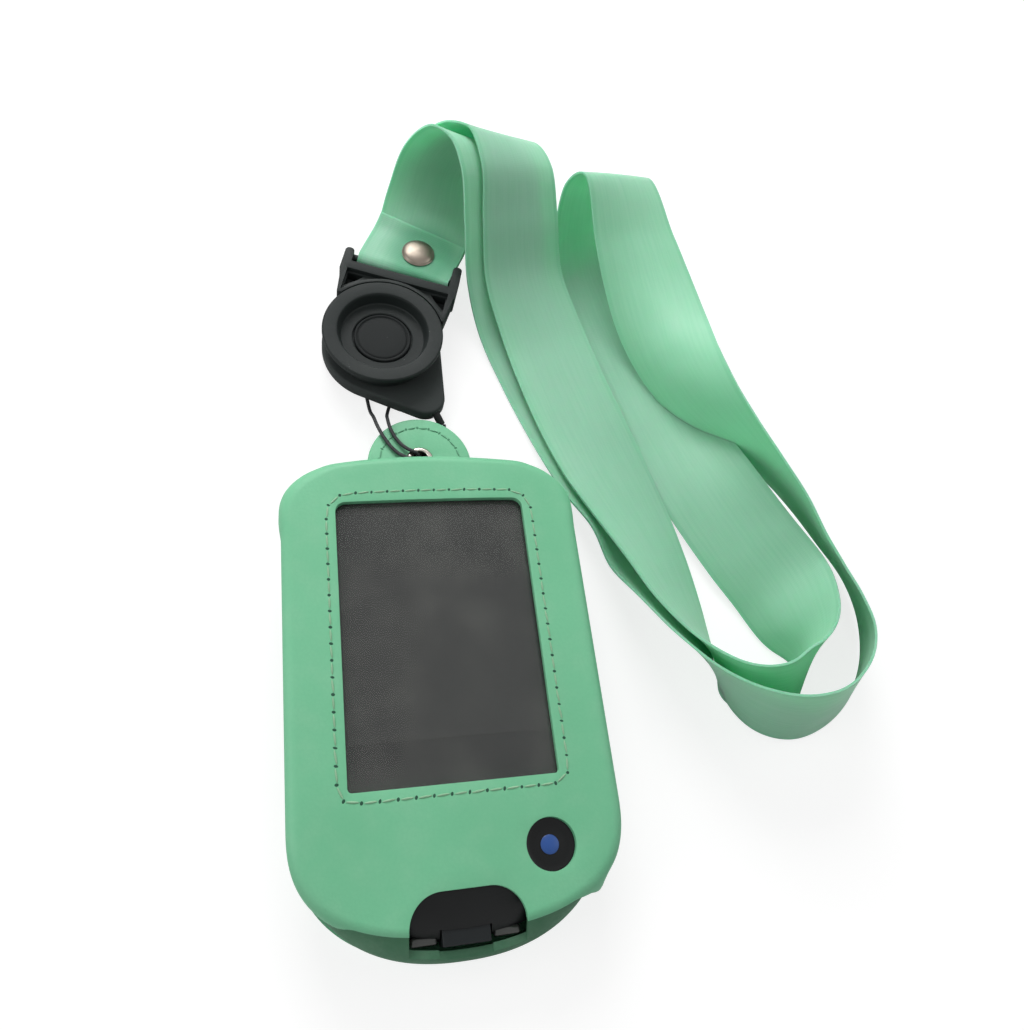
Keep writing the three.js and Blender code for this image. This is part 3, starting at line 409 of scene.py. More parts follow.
@dataclass(frozen=True)
class MouldedPlastic:
    """Black moulded plastic with a fine spark texture and a little dust."""

    name: str
    colour: str
    rough: float = 0.52
    texture: float = 2200.0
    dust: float = 0.25
    flows: float = 70.0
    specks: float = 480.0
    drifts: float = 130.0
    depth: float = 0.00003
    flow_colour: str = "26292A"
    dust_colour: str = "9EA3A2"

    def material(self) -> bpy.types.Material:
        """Builds the material.

        Returns:
            The material.
        """
        desk = Desk.material(self.name)
        point = desk.place()
        spark = desk.noise(point, self.texture, 3.0, 0.6)
        flow = desk.noise(point, self.flows, 2.0).ramp(0.3, 0.7)
        speck = 1.0 - desk.cells(point, self.specks).ramp(0.02, 0.09)
        drift = desk.noise(point, self.drifts, 1.0).ramp(0.55, 0.7)
        body = desk.mix(flow * 0.25, tint(self.colour), tint(self.flow_colour))
        body = desk.mix(speck * drift * self.dust, body, tint(self.dust_colour))
        return desk.finish(
            Base_Color=body,
            Roughness=self.rough + (spark - 0.5) * 0.2 + flow * 0.06,
            Specular_IOR_Level=0.2,
            Normal=desk.bump(spark, self.depth, 0.4),
        )


@dataclass(frozen=True)
class Metal:
    """Plated steel with fine scratches."""

    name: str
    colour: str
    rough: float
    worn: str
    scratches: float = 1800.0
    hazes: float = 260.0
    depth: float = 0.000006

    def material(self) -> bpy.types.Material:
        """Builds the material.

        Returns:
            The material.
        """
        desk = Desk.material(self.name)
        scratch = desk.noise(desk.place((1, 9, 1)), self.scratches, 3.0, 0.6)
        haze = desk.noise(desk.place(), self.hazes, 2.0).ramp(0.35, 0.75)
        return desk.finish(
            Base_Color=desk.mix(haze * 0.35, tint(self.colour), tint(self.worn)),
            Metallic=1.0,
            Roughness=self.rough + haze * 0.12 + (scratch - 0.5) * 0.1,
            Normal=desk.bump(scratch, self.depth, 0.35),
        )


@dataclass(frozen=True)
class ScreenGlass:
    """Cover glass, printed dark round the lit area of the display."""

    name: str
    low: Vector
    high: Vector
    border: str = "1F2122"
    area: str = "2D2F2F"
    grease: str = "4A4B48"
    soft: float = 0.00012
    smears: float = 55.0

    def material(self) -> bpy.types.Material:
        """Builds the material.

        Returns:
            The material.
        """
        desk = Desk.material(self.name)
        across, along, _ = desk.split(desk.place())
        inside = 1.0
        for part, low, high in zip((across, along), self.low, self.high):
            past = part.ramp(high - self.soft, high + self.soft)
            inside = inside * part.ramp(low - self.soft, low + self.soft) * (1.0 - past)
        smear = desk.noise(desk.place((1, 0.45, 1)), self.smears, 3.0).ramp(0.35, 0.8)
        body = desk.mix(inside, tint(self.border), tint(self.area))
        body = desk.mix(smear * 0.08, body, tint(self.grease))
        return desk.finish(Base_Color=body, Roughness=0.1 + smear * 0.1, Specular_IOR_Level=0.4)


@dataclass(frozen=True)
class ClearFilm:
    """Thin clear window sheet, slightly hazed."""

    name: str
    clear: str = "7A7C78"
    milky: str = "969892"
    hazes: float = 90.0

    def material(self) -> bpy.types.Material:
        """Builds the material.

        Returns:
            The material.
        """
        desk = Desk.material(self.name)
        haze = desk.noise(desk.place(), self.hazes, 3.0).ramp(0.3, 0.8)
        return desk.finish(
            Base_Color=desk.mix(haze, tint(self.clear), tint(self.milky)),
            Roughness=0.3 + haze * 0.1,
            Alpha=0.08 + haze * 0.02,
        )


@dataclass(frozen=True)
class Braid:
    """Thin braided cord."""

    name: str
    colour: str
    strand_colour: str = "33383A"
    lint_colour: str = "6E7472"
    pitch: float = 0.0011
    strands: int = 4
    lints: float = 900.0
    depth: float = 0.00006

    def material(self) -> bpy.types.Material:
        """Builds the material.

        Returns:
            The material.
        """
        desk = Desk.material(self.name)
        along, around, _ = desk.split(desk.place(source="UV"))
        lay, turned = along * (TURN / self.pitch), around * (TURN * self.strands)
        strand = desk.math("MAXIMUM", (lay + turned).sine(), (lay - turned).sine()) * 0.5 + 0.5
        lint = desk.noise(desk.place(), self.lints, 2.0).ramp(0.5, 0.75)
        body = desk.mix(strand * 0.4, tint(self.colour), tint(self.strand_colour))
        body = desk.mix(lint * 0.12, body, tint(self.lint_colour))
        return desk.finish(
            Base_Color=body,
            Roughness=0.55 + strand * 0.12,
            Normal=desk.bump(strand, self.depth, 0.7),
        )


@dataclass(frozen=True)
class Enamel:
    """Smooth coloured resin with fine flecks."""

    name: str
    colour: str
    shade: str
    rough: float
    clouds: float = 420.0
    flecks: float = 3000.0
    depth: float = 0.000012

    def material(self) -> bpy.types.Material:
        """Builds the material.

        Returns:
            The material.
        """
        desk = Desk.material(self.name)
        point = desk.place()
        cloud = desk.noise(point, self.clouds, 3.0).ramp(0.3, 0.75)
        fleck = desk.noise(point, self.flecks, 2.0)
        return desk.finish(
            Base_Color=desk.mix(cloud * 0.35, tint(self.colour), tint(self.shade)),
            Roughness=self.rough + cloud * 0.1,
            Normal=desk.bump(fleck, self.depth, 0.35),
        )


@dataclass(frozen=True)
class PrintedBoard:
    """Circuit board with traces and small pads."""

    name: str
    lacquer: str = "17492F"
    trace_colour: str = "2E7A50"
    pad_colour: str = "C7A65A"
    lanes: float = 120.0
    trace_pitch: float = 0.0016
    cross_pitch: float = 0.0045
    pads: float = 260.0

    def material(self) -> bpy.types.Material:
        """Builds the material.

        Returns:
            The material.
        """
        desk = Desk.material(self.name)
        point = desk.place()
        across, along, _ = desk.split(point)
        lane = desk.noise(desk.place((1, 0.25, 1)), self.lanes, 1.0)
        trace = ((across + lane * 0.004) * (TURN / self.trace_pitch)).sine().ramp(0.75, 0.9)
        cross = ((along + lane * 0.006) * (TURN / self.cross_pitch)).sine().ramp(0.9, 0.98)
        pad = 1.0 - desk.cells(point, self.pads).ramp(0.12, 0.16)
        body = desk.mix(trace * 0.5, tint(self.lacquer), tint(self.trace_colour))
        body = desk.mix(cross * 0.5, body, tint(self.trace_colour))
        body = desk.mix(pad, body, tint(self.pad_colour))
        return desk.finish(Base_Color=body, Metallic=pad * 0.8, Roughness=0.4 - pad * 0.1)


class Palette:
    """Every finish of the object, each made once."""

    def __init__(self) -> None:
        """Builds the materials."""
        low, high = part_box("display_module")
        self.panel = Leather("panel_leather", "7BCB9E", "6FBF92").material()
        # the gusset's leather is a darker copy of the mint leather: painted shade on the wall that
        # faces away from the light
        self.gusset = Leather("gusset_leather", "457859", "3B684D", rough=0.62).material()
        self.back = Leather("back_leather", "79C39A", "6AB48B", rough=0.55).material()
        self.cut = CutEdge("cut_leather", "7E9A82", "A9AC95").material()
        self.seam = Thread("pale_thread", "A6D0AC", "86BD97").material()
        self.shade_seam = Thread("green_thread", "77BC96", "62A681").material()
        # needle holes: dark beads that paint the shade inside each hole, darker on the window seam,
        # fainter on the tab
        self.hole = Enamel("needle_hole_shade", "1F4A38", "2D5C47", 0.8).material()
        self.faint_hole_shade = Enamel("faint_hole_shade", "4C8D6A", "5A9C78", 0.8).material()
        sizes = BuckleSizes()
        # centre of the satin's painted shade round the rivet
        rivet_shade_centre = sizes.on_yoke(4.5, sizes.rivet_along, 10.5) * MM
        self.satin = Satin("ribbon_satin", "A0DBB9", "80CBA2", 0.025, rivet_shade_centre).material()
        self.buckle = MouldedPlastic("buckle_plastic", "1D2322").material()
        # a lighter copy of the buckle plastic: painted light on the tail plate's upper face
        self.plate = MouldedPlastic("plate_plastic", "393E3D", 0.6, 2600.0, 0.2).material()
        self.hub = MouldedPlastic("hub_plastic", "141818", 0.62, 3200.0, 0.12).material()
        self.housing = MouldedPlastic("housing_plastic", "0B0D0E", 0.34, 3000.0, 0.1).material()
        self.rear = MouldedPlastic("rear_plastic", "181B1C", 0.5, 1500.0, 0.15).material()
        # the black rim's light grey colour is a painted highlight, over its real gloss
        self.ridge_highlight = Enamel("rim_gloss_painted_highlight", "3E403D", "2C2E2C", 0.16).material()
        self.socket = MouldedPlastic("connector_plastic", "1A1E20", 0.42, 2600.0, 0.1).material()
        self.button = MouldedPlastic("button_rubber", "090B0C", 0.3, 3600.0, 0.08).material()
        self.dot = Enamel("button_blue", "1B4C96", "174486", 0.32).material()
        self.glass = ScreenGlass("display_glass", low, high).material()
        self.screen = Enamel("display_screen", "45484A", "3D4042", 0.25).material()
        self.film = ClearFilm("clear_film").material()
        self.steel = Metal("bright_steel", "BDB7AF", 0.2, "857C74").material()
        # the rivet's steel is a darker copy of the bright steel: painted dark reflection on its
        # dome
        self.dome = Metal("rivet_steel", "7F766C", 0.32, "4C463F").material()
        self.copper = Metal("copper_trace", "C07A48", 0.3, "8A4E2C").material()
        self.foil = Metal("battery_foil", "B4B7B9", 0.42, "8D9194").material()
        self.cord = Braid("black_cord", "141617").material()
        self.sleeve = MouldedPlastic("sleeve_rubber", "18191A", 0.5, 1800.0, 0.1).material()
        self.board = PrintedBoard("circuit_board").material()


# ---------------------------------------------------------------- mesh tools


class Workpiece:
    """One mesh shaped with bmesh operators, in millimetres."""

    def __init__(self, name: str) -> None:
        """Starts an empty piece of that name."""
        self.name = name
        self.bm = bmesh.new()

    def grid(
        self,
        columns: int,
        rows: int,
        place: Callable[[float, float], Vector],
        uv: tuple[float, float] | None = None,
    ) -> None:
        """Moulds a plain grid over a surface.

        Args:
            columns: Squares along the first share.
            rows: Squares along the second share.
            place: Gives the point of two shares from 0 to 1.
            uv: The size of the surface in metres along both shares, where its finish follows it.
        """
        layer = self.bm.loops.layers.uv.verify() if uv else None
        grid = bmesh.ops.create_grid(self.bm, x_segments=columns, y_segments=rows, size=0.5)
        made = grid["verts"]
        shares = {v: (round(v.co.x + 0.5, 7), round(v.co.y + 0.5, 7)) for v in made}
        if layer:
            for face in {f for v in made for f in v.link_faces}:
                for loop in face.loops:
                    s, t = shares[loop.vert]
                    loop[layer].uv = (s * uv[0], t * uv[1])
        for vert, (s, t) in shares.items():
            vert.co = place(s, t)

    def turn(
        self, profile: Sequence[tuple[float, float]], x: float, y: float, steps: int = 96
    ) -> None:
        """Spins a profile of radii and heights about an upright axis.

        Args:
            profile: Points from the axis or round a closed section.
            x: Where the axis stands.
            y: Where the axis stands.
            steps: Steps of the full turn.
        """
        verts = [self.bm.verts.new((x + r, y, z)) for r, z in profile]
        edges = [self.bm.edges.new(pair) for pair in zip(verts, verts[1:])]
        bmesh.ops.spin(
            self.bm,
            geom=verts + edges,
            cent=(x, y, 0),
            axis=(0, 0, 1),
            angle=TURN,
            steps=steps,
            use_merge=True,
            use_duplicate=False,
        )
        self.weld()
        self.outward()

    def block(self, low: Sequence[float], high: Sequence[float]) -> None:
        """Adds a box.

        Args:
            low: Its lowest corner.
            high: Its highest corner.
        """
        a, b = Vector(low), Vector(high)
        size = Matrix.Diagonal((*(b - a), 1))
        bmesh.ops.create_cube(self.bm, size=1.0, matrix=Matrix.Translation((a + b) / 2) @ size)

    def bar(self, radius: float, length: float, place: Matrix, steps: int) -> None:
        """Adds a round bar.

        Args:
            radius: Its radius.
            length: How long it is.
            place: Where its middle is and how it is turned.
            steps: Steps round it.
        """
        bmesh.ops.create_cone(
            self.bm,
            cap_ends=True,
            segments=steps,
            radius1=radius,
            radius2=radius,
            depth=length,
            matrix=place,
        )

    def rod(
        self, radius: float, low: float, high: float, x: float, y: float, steps: int = 96
    ) -> None:
        """Adds an upright round bar from one height to another."""
        self.bar(radius, high - low, Matrix.Translation((x, y, (low + high) / 2)), steps)

    def prism(self, outline: Sequence[Vector], low: float, high: float) -> None:
        """Raises a flat outline.

        Args:
            outline: Its points, anticlockwise.
            low: The height that it starts from.
            high: The height that it reaches.
        """
        face = self.bm.faces.new([self.bm.verts.new((p.x, p.y, low)) for p in outline])
        made = bmesh.ops.extrude_face_region(self.bm, geom=[face])["geom"]
        up = [g for g in made if isinstance(g, bmesh.types.BMVert)]
        bmesh.ops.translate(self.bm, verts=up, vec=(0, 0, high - low))
        self.outward()

    def bead(
        self, centre: Vector, along: Vector, up: Vector, size: Sequence[float], steps: int = 8
    ) -> None:
        """Adds a small rounded grain.

        Args:
            centre: Its middle.
            along: Its long way.
            up: The way it stands out of its surface.
            size: Half its length, width and height.
            steps: Steps round it.
        """
        long = along.normalized()
        rise = (up - long * up.dot(long)).normalized()
        side = rise.cross(long)
        turned = Matrix((side, rise, long)).transposed().to_4x4()
        shape = Matrix.Diagonal((size[1], size[2], size[0], 1))
        lay = Matrix.Translation(centre) @ turned @ shape
        bmesh.ops.create_uvsphere(
            self.bm, u_segments=steps, v_segments=6, radius=1.0, matrix=lay
        )

    def tube(self, line: Sequence[Vector], radius: float, sides: int = 14) -> None:
        """Sweeps a round section along a line.

        Args:
            line: Points close together.
            radius: The section's radius.
            sides: Steps round it.
        """
        last = len(line) - 1
        behind, ahead = [line[0], *line[:-1]], [*line[1:], line[-1]]
        ways = [(b - a).normalized() for a, b in zip(behind, ahead)]
        side = ways[0].orthogonal().normalized()
        frames = []
        for way in ways:
            side = (side - way * side.dot(way)).normalized()
            frames.append((side, way.cross(side)))

        def place(s: float, t: float) -> Vector:
            """The point of the tube at two shares.

            Args:
                s: The share along the line.
                t: The share round it.

            Returns:
                The point.
            """
            i, a = round(s * last), t * TURN
            return line[i] + (frames[i][0] * math.cos(a) + frames[i][1] * math.sin(a)) * radius

        self.grid(last, sides, place, (run_of(line) * MM, 1.0))
        self.weld()
        self.close()
        self.outward()

    def weld(self, gap: float = 0.0005) -> None:
        """Merges doubled points."""
        bmesh.ops.remove_doubles(self.bm, verts=self.bm.verts[:], dist=gap)

    def close(self) -> None:
        """Fills every open rim."""
        rims = [e for e in self.bm.edges if e.is_boundary]
        bmesh.ops.holes_fill(self.bm, edges=rims, sides=0)

    def outward(self) -> None:
        """Makes all faces point outwards."""
        bmesh.ops.recalc_face_normals(self.bm, faces=self.bm.faces[:])

    def sharp(self, angle: float) -> list:
        """The edges whose faces meet at more than an angle in degrees."""
        limit = math.radians(angle)
        return [e for e in self.bm.edges if len(e.link_faces) == 2 and e.calc_face_angle(0) > limit]

    def break_edges(self, width: float, angle: float = 35, steps: int = 3) -> None:
        """Rounds the sharp edges.

        Args:
            width: How far the rounding reaches.
            angle: The least angle of an edge that is rounded, in degrees.
            steps: Steps across it.
        """
        bmesh.ops.bevel(
            self.bm,
            geom=self.sharp(angle),
            offset=width,
            offset_type="OFFSET",
            affect="EDGES",
            segments=steps,
            profile=0.5,
            material=-1,
            clamp_overlap=True,
        )

    def everything(self) -> list:
        """Every point, edge and face."""
        return self.bm.verts[:] + self.bm.edges[:] + self.bm.faces[:]

    def slice(self, axis: int, start: float, end: float, step: float) -> None:
        """Cuts the mesh with parallel planes, so that it can bend between them.

        Args:
            axis: The axis that the planes stand across: 0, 1 or 2.
            start: Where the first stands.
            end: Where the last may stand.
            step: How far apart they are.
        """
        normal = Vector((axis == 0, axis == 1, axis == 2))
        for i in range(int((end - start) / step) + 1):
            plane = normal * (start + i * step)
            bmesh.ops.bisect_plane(self.bm, geom=self.everything(), plane_co=plane, plane_no=normal)

    def merge_flat(self, angle: float) -> None:
        """Merges faces that meet at less than an angle in degrees."""
        bmesh.ops.dissolve_limit(
            self.bm, angle_limit=math.radians(angle), verts=self.bm.verts[:], edges=self.bm.edges[:]
        )

    def bend(self, move: Callable[[Vector], Vector]) -> None:
        """Moves every point by a function of its place."""
        for vert in self.bm.verts:
            vert.co += move(vert.co)

    def mesh(self) -> bpy.types.Mesh:
        """Copies the piece.

        Returns:
            A plain mesh of it.
        """
        mesh = bpy.data.meshes.new(self.name)
        self.bm.to_mesh(mesh)
        return mesh

    def through(self, *steps: Step, materials: int = 1) -> None:
        """Runs modifiers on the piece and keeps their result.

        Args:
            *steps: Each modifier's type and settings; a Workpiece as the object is a cutter.
            materials: How many material places the result may use.
        """
        scene = bpy.context.scene
        holder = bpy.data.objects.new(f"{self.name}_work", self.mesh())
        scene.collection.objects.link(holder)
        spare = [holder]
        for _ in range(materials):
            holder.data.materials.append(None)
        for kind, settings in steps:
            modifier = holder.modifiers.new(kind.lower(), kind)
            for key, value in settings.items():
                if isinstance(value, Workpiece):
                    tool = bpy.data.objects.new(f"{value.name}_tool", value.mesh())
                    scene.collection.objects.link(tool)
                    spare.append(tool)
                    value = tool
                setattr(modifier, key, value)
        bpy.context.view_layer.update()
        shaped = holder.evaluated_get(bpy.context.evaluated_depsgraph_get())
        done = bpy.data.meshes.new_from_object(shaped)
        self.bm.clear()
        self.bm.from_mesh(done)
        for item in spare:
            bpy.data.objects.remove(item)

    def cut(self, *tools: "Workpiece", operation: str = "DIFFERENCE") -> None:
        """Takes tools away from the piece, or joins them to it."""
        self.through(*[with_tool(tool, operation) for tool in tools])

    def carve(self, tools: Sequence["Workpiece"], width: float, steps: int) -> None:
        """Cuts openings with the second finish on their walls, and rounds every rim.

        Args:
            tools: What is cut out.
            width: How far the rounding reaches.
            steps: Steps across it.
        """
        for tool in tools:
            for face in tool.bm.faces:
                face.material_index = 1
        cuts = [with_tool(tool, "DIFFERENCE") for tool in tools]
        self.through(*cuts, rounding(width, steps, 50), materials=2)

    def finished(
        self,
        materials: Sequence[bpy.types.Material],
        body: str,
        slot: str,
        replaces: Iterable[str] = (),
        crease: float = 38,
    ) -> bpy.types.Object:
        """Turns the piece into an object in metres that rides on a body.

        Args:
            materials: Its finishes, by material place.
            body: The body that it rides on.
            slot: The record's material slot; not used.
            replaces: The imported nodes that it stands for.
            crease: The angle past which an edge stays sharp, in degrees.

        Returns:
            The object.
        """
        bmesh.ops.scale(self.bm, vec=(MM, MM, MM), verts=self.bm.verts[:])
        mesh = self.mesh()
        mesh.materials.clear()
        for material in materials:
            mesh.materials.append(material)
        mesh.shade_smooth()
        mesh.set_sharp_from_angle(angle=math.radians(crease))
        piece = bpy.data.objects.new(self.name, mesh)
        bpy.context.scene.collection.objects.link(piece)
        self.bm.free()
        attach(piece, body)
        if replaces:
            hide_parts(*replaces)
        log.info("%s: %d faces", self.name, len(mesh.polygons))
        return piece


def with_tool(tool: Workpiece, operation: str) -> Step:
    """The step that cuts a tool out or joins it on."""
    return ("BOOLEAN", {"operation": operation, "solver": "EXACT", "object": tool})


def rounding(width: float, segments: int, angle: float) -> Step:
    """The step that rounds the edges sharper than an angle in degrees."""
    limit = {"limit_method": "ANGLE", "angle_limit": math.radians(angle)}
    return ("BEVEL", {"width": width, "segments": segments, **limit})


def thickening(thick: float) -> Step:
    """The step that thickens a sheet inwards, with the second finish on its rim."""
    rim = {"offset": -1.0, "use_even_offset": True, "material_offset_rim": 1}
    return ("SOLIDIFY", {"thickness": thick, **rim})


def step_between(low: float, high: float, value: float) -> float:
    """Rises smoothly from 0 at low to 1 at high."""
    share = min(1.0, max(0.0, (value - low) / (high - low)))
    return share * share * (3 - 2 * share)


def curve_share(shares: Sequence[float], places: Sequence[float], at: float) -> float:
    """Reads a table of shares smoothly.

    Args:
        shares: The values.
        places: Where each holds, rising.
        at: Where to read.

    Returns:
        The value there.
    """
    past = next((k for k, p in enumerate(places) if p > at), len(places))
    i = max(0, min(len(places) - 2, past - 1))
    return rounded_blend(shares, i + (at - places[i]) / (places[i + 1] - places[i]))


@dataclass(frozen=True)
class Plan:
    """A rounded outline seen from the screen's side: round corners at the mouth, a full foot."""

    side: float
    top: float
    foot: float
    start: float
    corner: float
    power: float
    corner_steps: int = 24
    foot_steps: int = 180

    def mouth_corner(self, middle: float, quarter: int) -> list[Vector]:
        """A round corner beside the mouth.

        Args:
            middle: Where its centre lies across the outline.
            quarter: 0 for the right corner, 1 for the left.

        Returns:
            Its points, anticlockwise.
        """
        r, y = self.corner, self.top - self.corner
        steps = self.corner_steps
        turns = [math.pi / 2 * (quarter + i / steps) for i in range(steps + 1)]
        return [Vector((middle + r * math.cos(a), y + r * math.sin(a), 0)) for a in turns]

    def rough_loop(self) -> list[Vector]:
        """The outline as many points, from the middle of the mouth to the left.

        Returns:
            The points, the last one on the first.
        """
        points = [Vector((0, self.top, 0)), *self.mouth_corner(self.corner - self.side, 1)]
        for i in range(self.foot_steps + 1):
            a = math.pi * (1 + i / self.foot_steps)
            c, s = math.cos(a), math.sin(a)
            x = self.side * math.copysign(abs(c) ** (2 / self.power), c)
            y = self.start + (self.foot - self.start) * abs(s) ** (2 / self.power)
            points.append(Vector((x, y, 0)))
        return [*points, *self.mouth_corner(self.side - self.corner, 0), points[0]]

    def loop(self, count: int) -> list[Vector]:
        """The outline in that many even steps, with its last point on its first."""
        return even_steps(self.rough_loop(), count)


def run_of(line: Sequence[Vector]) -> float:
    """How long a line of points is."""
    return sum((b - a).length for a, b in zip(line, line[1:]))


def walk(line: Sequence[Vector], count: int) -> Iterator[tuple[int, float]]:
    """Goes along a line of points in even steps.

    Args:
        line: The points.
        count: How many steps.

    Yields:
        For each of count + 1 places, the point before it and the share of the way to the next.
    """
    reach = [0.0]
    for a, b in zip(line, line[1:]):
        reach.append(reach[-1] + (b - a).length)
    k = 0
    for i in range(count + 1):
        want = reach[-1] * i / count
        while k < len(line) - 2 and reach[k + 1] < want:
            k += 1
        span = reach[k + 1] - reach[k]
        yield k, (want - reach[k]) / span if span else 0.0


def even_steps(line: Sequence[Vector], count: int) -> list[Vector]:
    """The count + 1 points that divide a line of points into even steps."""
    return [line[k].lerp(line[k + 1], share) for k, share in walk(line, count)]


def rounded_rectangle(
    x0: float,
    x1: float,
    y0: float,
    y1: float,
    r: float,
    low_r: float | None = None,
    steps: int = 10,
) -> list[Vector]:
    """The outline of a rectangle with round corners, anticlockwise from the lower right.

    Args:
        x0: Its left side.
        x1: Its right side.
        y0: Its foot.
        y1: Its top.
        r: The radius of its corners.
        low_r: The radius of the two at the foot, where it differs.
        steps: Steps round a corner.

    Returns:
        The outline.
    """
    points = []
    for first, (right, high) in enumerate(((1, 0), (1, 1), (0, 1), (0, 0)), -1):
        radius = r if high or low_r is None else low_r
        cx = x1 - radius if right else x0 + radius
        cy = y1 - radius if high else y0 + radius
        for i in range(steps + 1):
            a = math.pi / 2 * (first + i / steps)
            points.append(Vector((cx + radius * math.cos(a), cy + radius * math.sin(a), 0)))
    return points


# ---------------------------------------------------------------- routes


def centripetal(points: Sequence[Vector], at: float) -> Vector:
    """A point of the smooth curve through given points.

    Args:
        points: The points.
        at: The place, where a whole number is a point.

    Returns:
        The point there.
    """
    i = min(int(at), len(points) - 2)
    t = at - i
    p1, p2 = points[i], points[i + 1]
    p0 = points[i - 1] if i else p1 * 2 - p2
    p3 = points[i + 2] if i + 2 < len(points) else p2 * 2 - p1
    d0, d1, d2 = (max((b - a).length, 1e-4) ** 0.5 for a, b in ((p0, p1), (p1, p2), (p2, p3)))
    m1 = ((p1 - p0) / d0 - (p2 - p0) / (d0 + d1) + (p2 - p1) / d1) * d1
    m2 = ((p2 - p1) / d1 - (p3 - p1) / (d1 + d2) + (p3 - p2) / d2) * d1
    return p1 + m1 * t + ((p2 - p1) * 3 - m1 * 2 - m2) * t * t + ((p1 - p2) * 2 + m1 + m2) * t**3


def fine_line(points: Sequence[Vector], fine: int) -> list[Vector]:
    """The smooth curve through given points, with that many steps between two of them."""
    return [centripetal(points, i / fine) for i in range((len(points) - 1) * fine + 1)]


def rounded_blend(values: Sequence[Vector | float], at: float) -> Vector | float:
    """Blends a row of values or directions without corners.

    Args:
        values: The row.
        at: The place, where a whole number is a value of the row.

    Returns:
        The value there.
    """
    i = min(int(at), len(values) - 2)
    t = at - i
    a, b = values[i], values[i + 1]
    rise = (b - values[max(i - 1, 0)]) / 2
    fall = (values[min(i + 2, len(values) - 1)] - a) / 2
    square, cube = (b - a) * 3 - rise * 2 - fall, (a - b) * 2 + rise + fall
    return a + rise * t + square * t * t + cube * t**3


@dataclass(frozen=True)
class BuckleSizes:
    """Where the swivel buckle lies and how big it is."""

    x: float = -6.8
    y: float = 94.3
    radius: float = 15.5
    tail_x: float = 3.3
    tail_y: float = 78.2
    tail_radius: float = 5.2
    plate_low: float = 1.2
    plate_top: float = 5.0
    base_low: float = 5.3
    base_top: float = 6.9
    ring_top: float = 11.1
    turned: float = 73.0
    bar_along: float = 22.2
    bar_up: float = 8.6
    rivet_along: float = 27.9
    rivet_aside: float = 3.0

    @property
    def centre(self) -> Vector:
        """The swivel's axis."""
        return Vector((self.x, self.y, 0))

    @property
    def tail(self) -> Vector:
        """The middle of the plate's tail."""
        return Vector((self.tail_x, self.tail_y, 0))

    @property
    def yoke_way(self) -> Vector:
        """The way from the axis to the ribbon's bar."""
        return Vector((math.cos(math.radians(self.turned)), math.sin(math.radians(self.turned)), 0))

    @property
    def yoke_side(self) -> Vector:
        """The way across the yoke, to its right."""
        return Vector((self.yoke_way.y, -self.yoke_way.x, 0))

    def on_yoke(self, aside: float, along: float, up: float = 0.0) -> Vector:
        """A place given across and along the yoke."""
        return self.centre + self.yoke_side * aside + self.yoke_way * along + Vector((0, 0, up))

    def down_tail(self, stops: Sequence[tuple[float, float]], fine: int) -> list[Vector]:
        """A smooth line that leaves the plate at its tail.

        Args:
            stops: How far out and how high it passes.
            fine: Steps between two stops.

        Returns:
            Its points.
        """
        way = (self.tail - self.centre).normalized()
        points = [self.tail + way * reach + Vector((0, 0, up)) for reach, up in stops]
        return fine_line(points, fine)


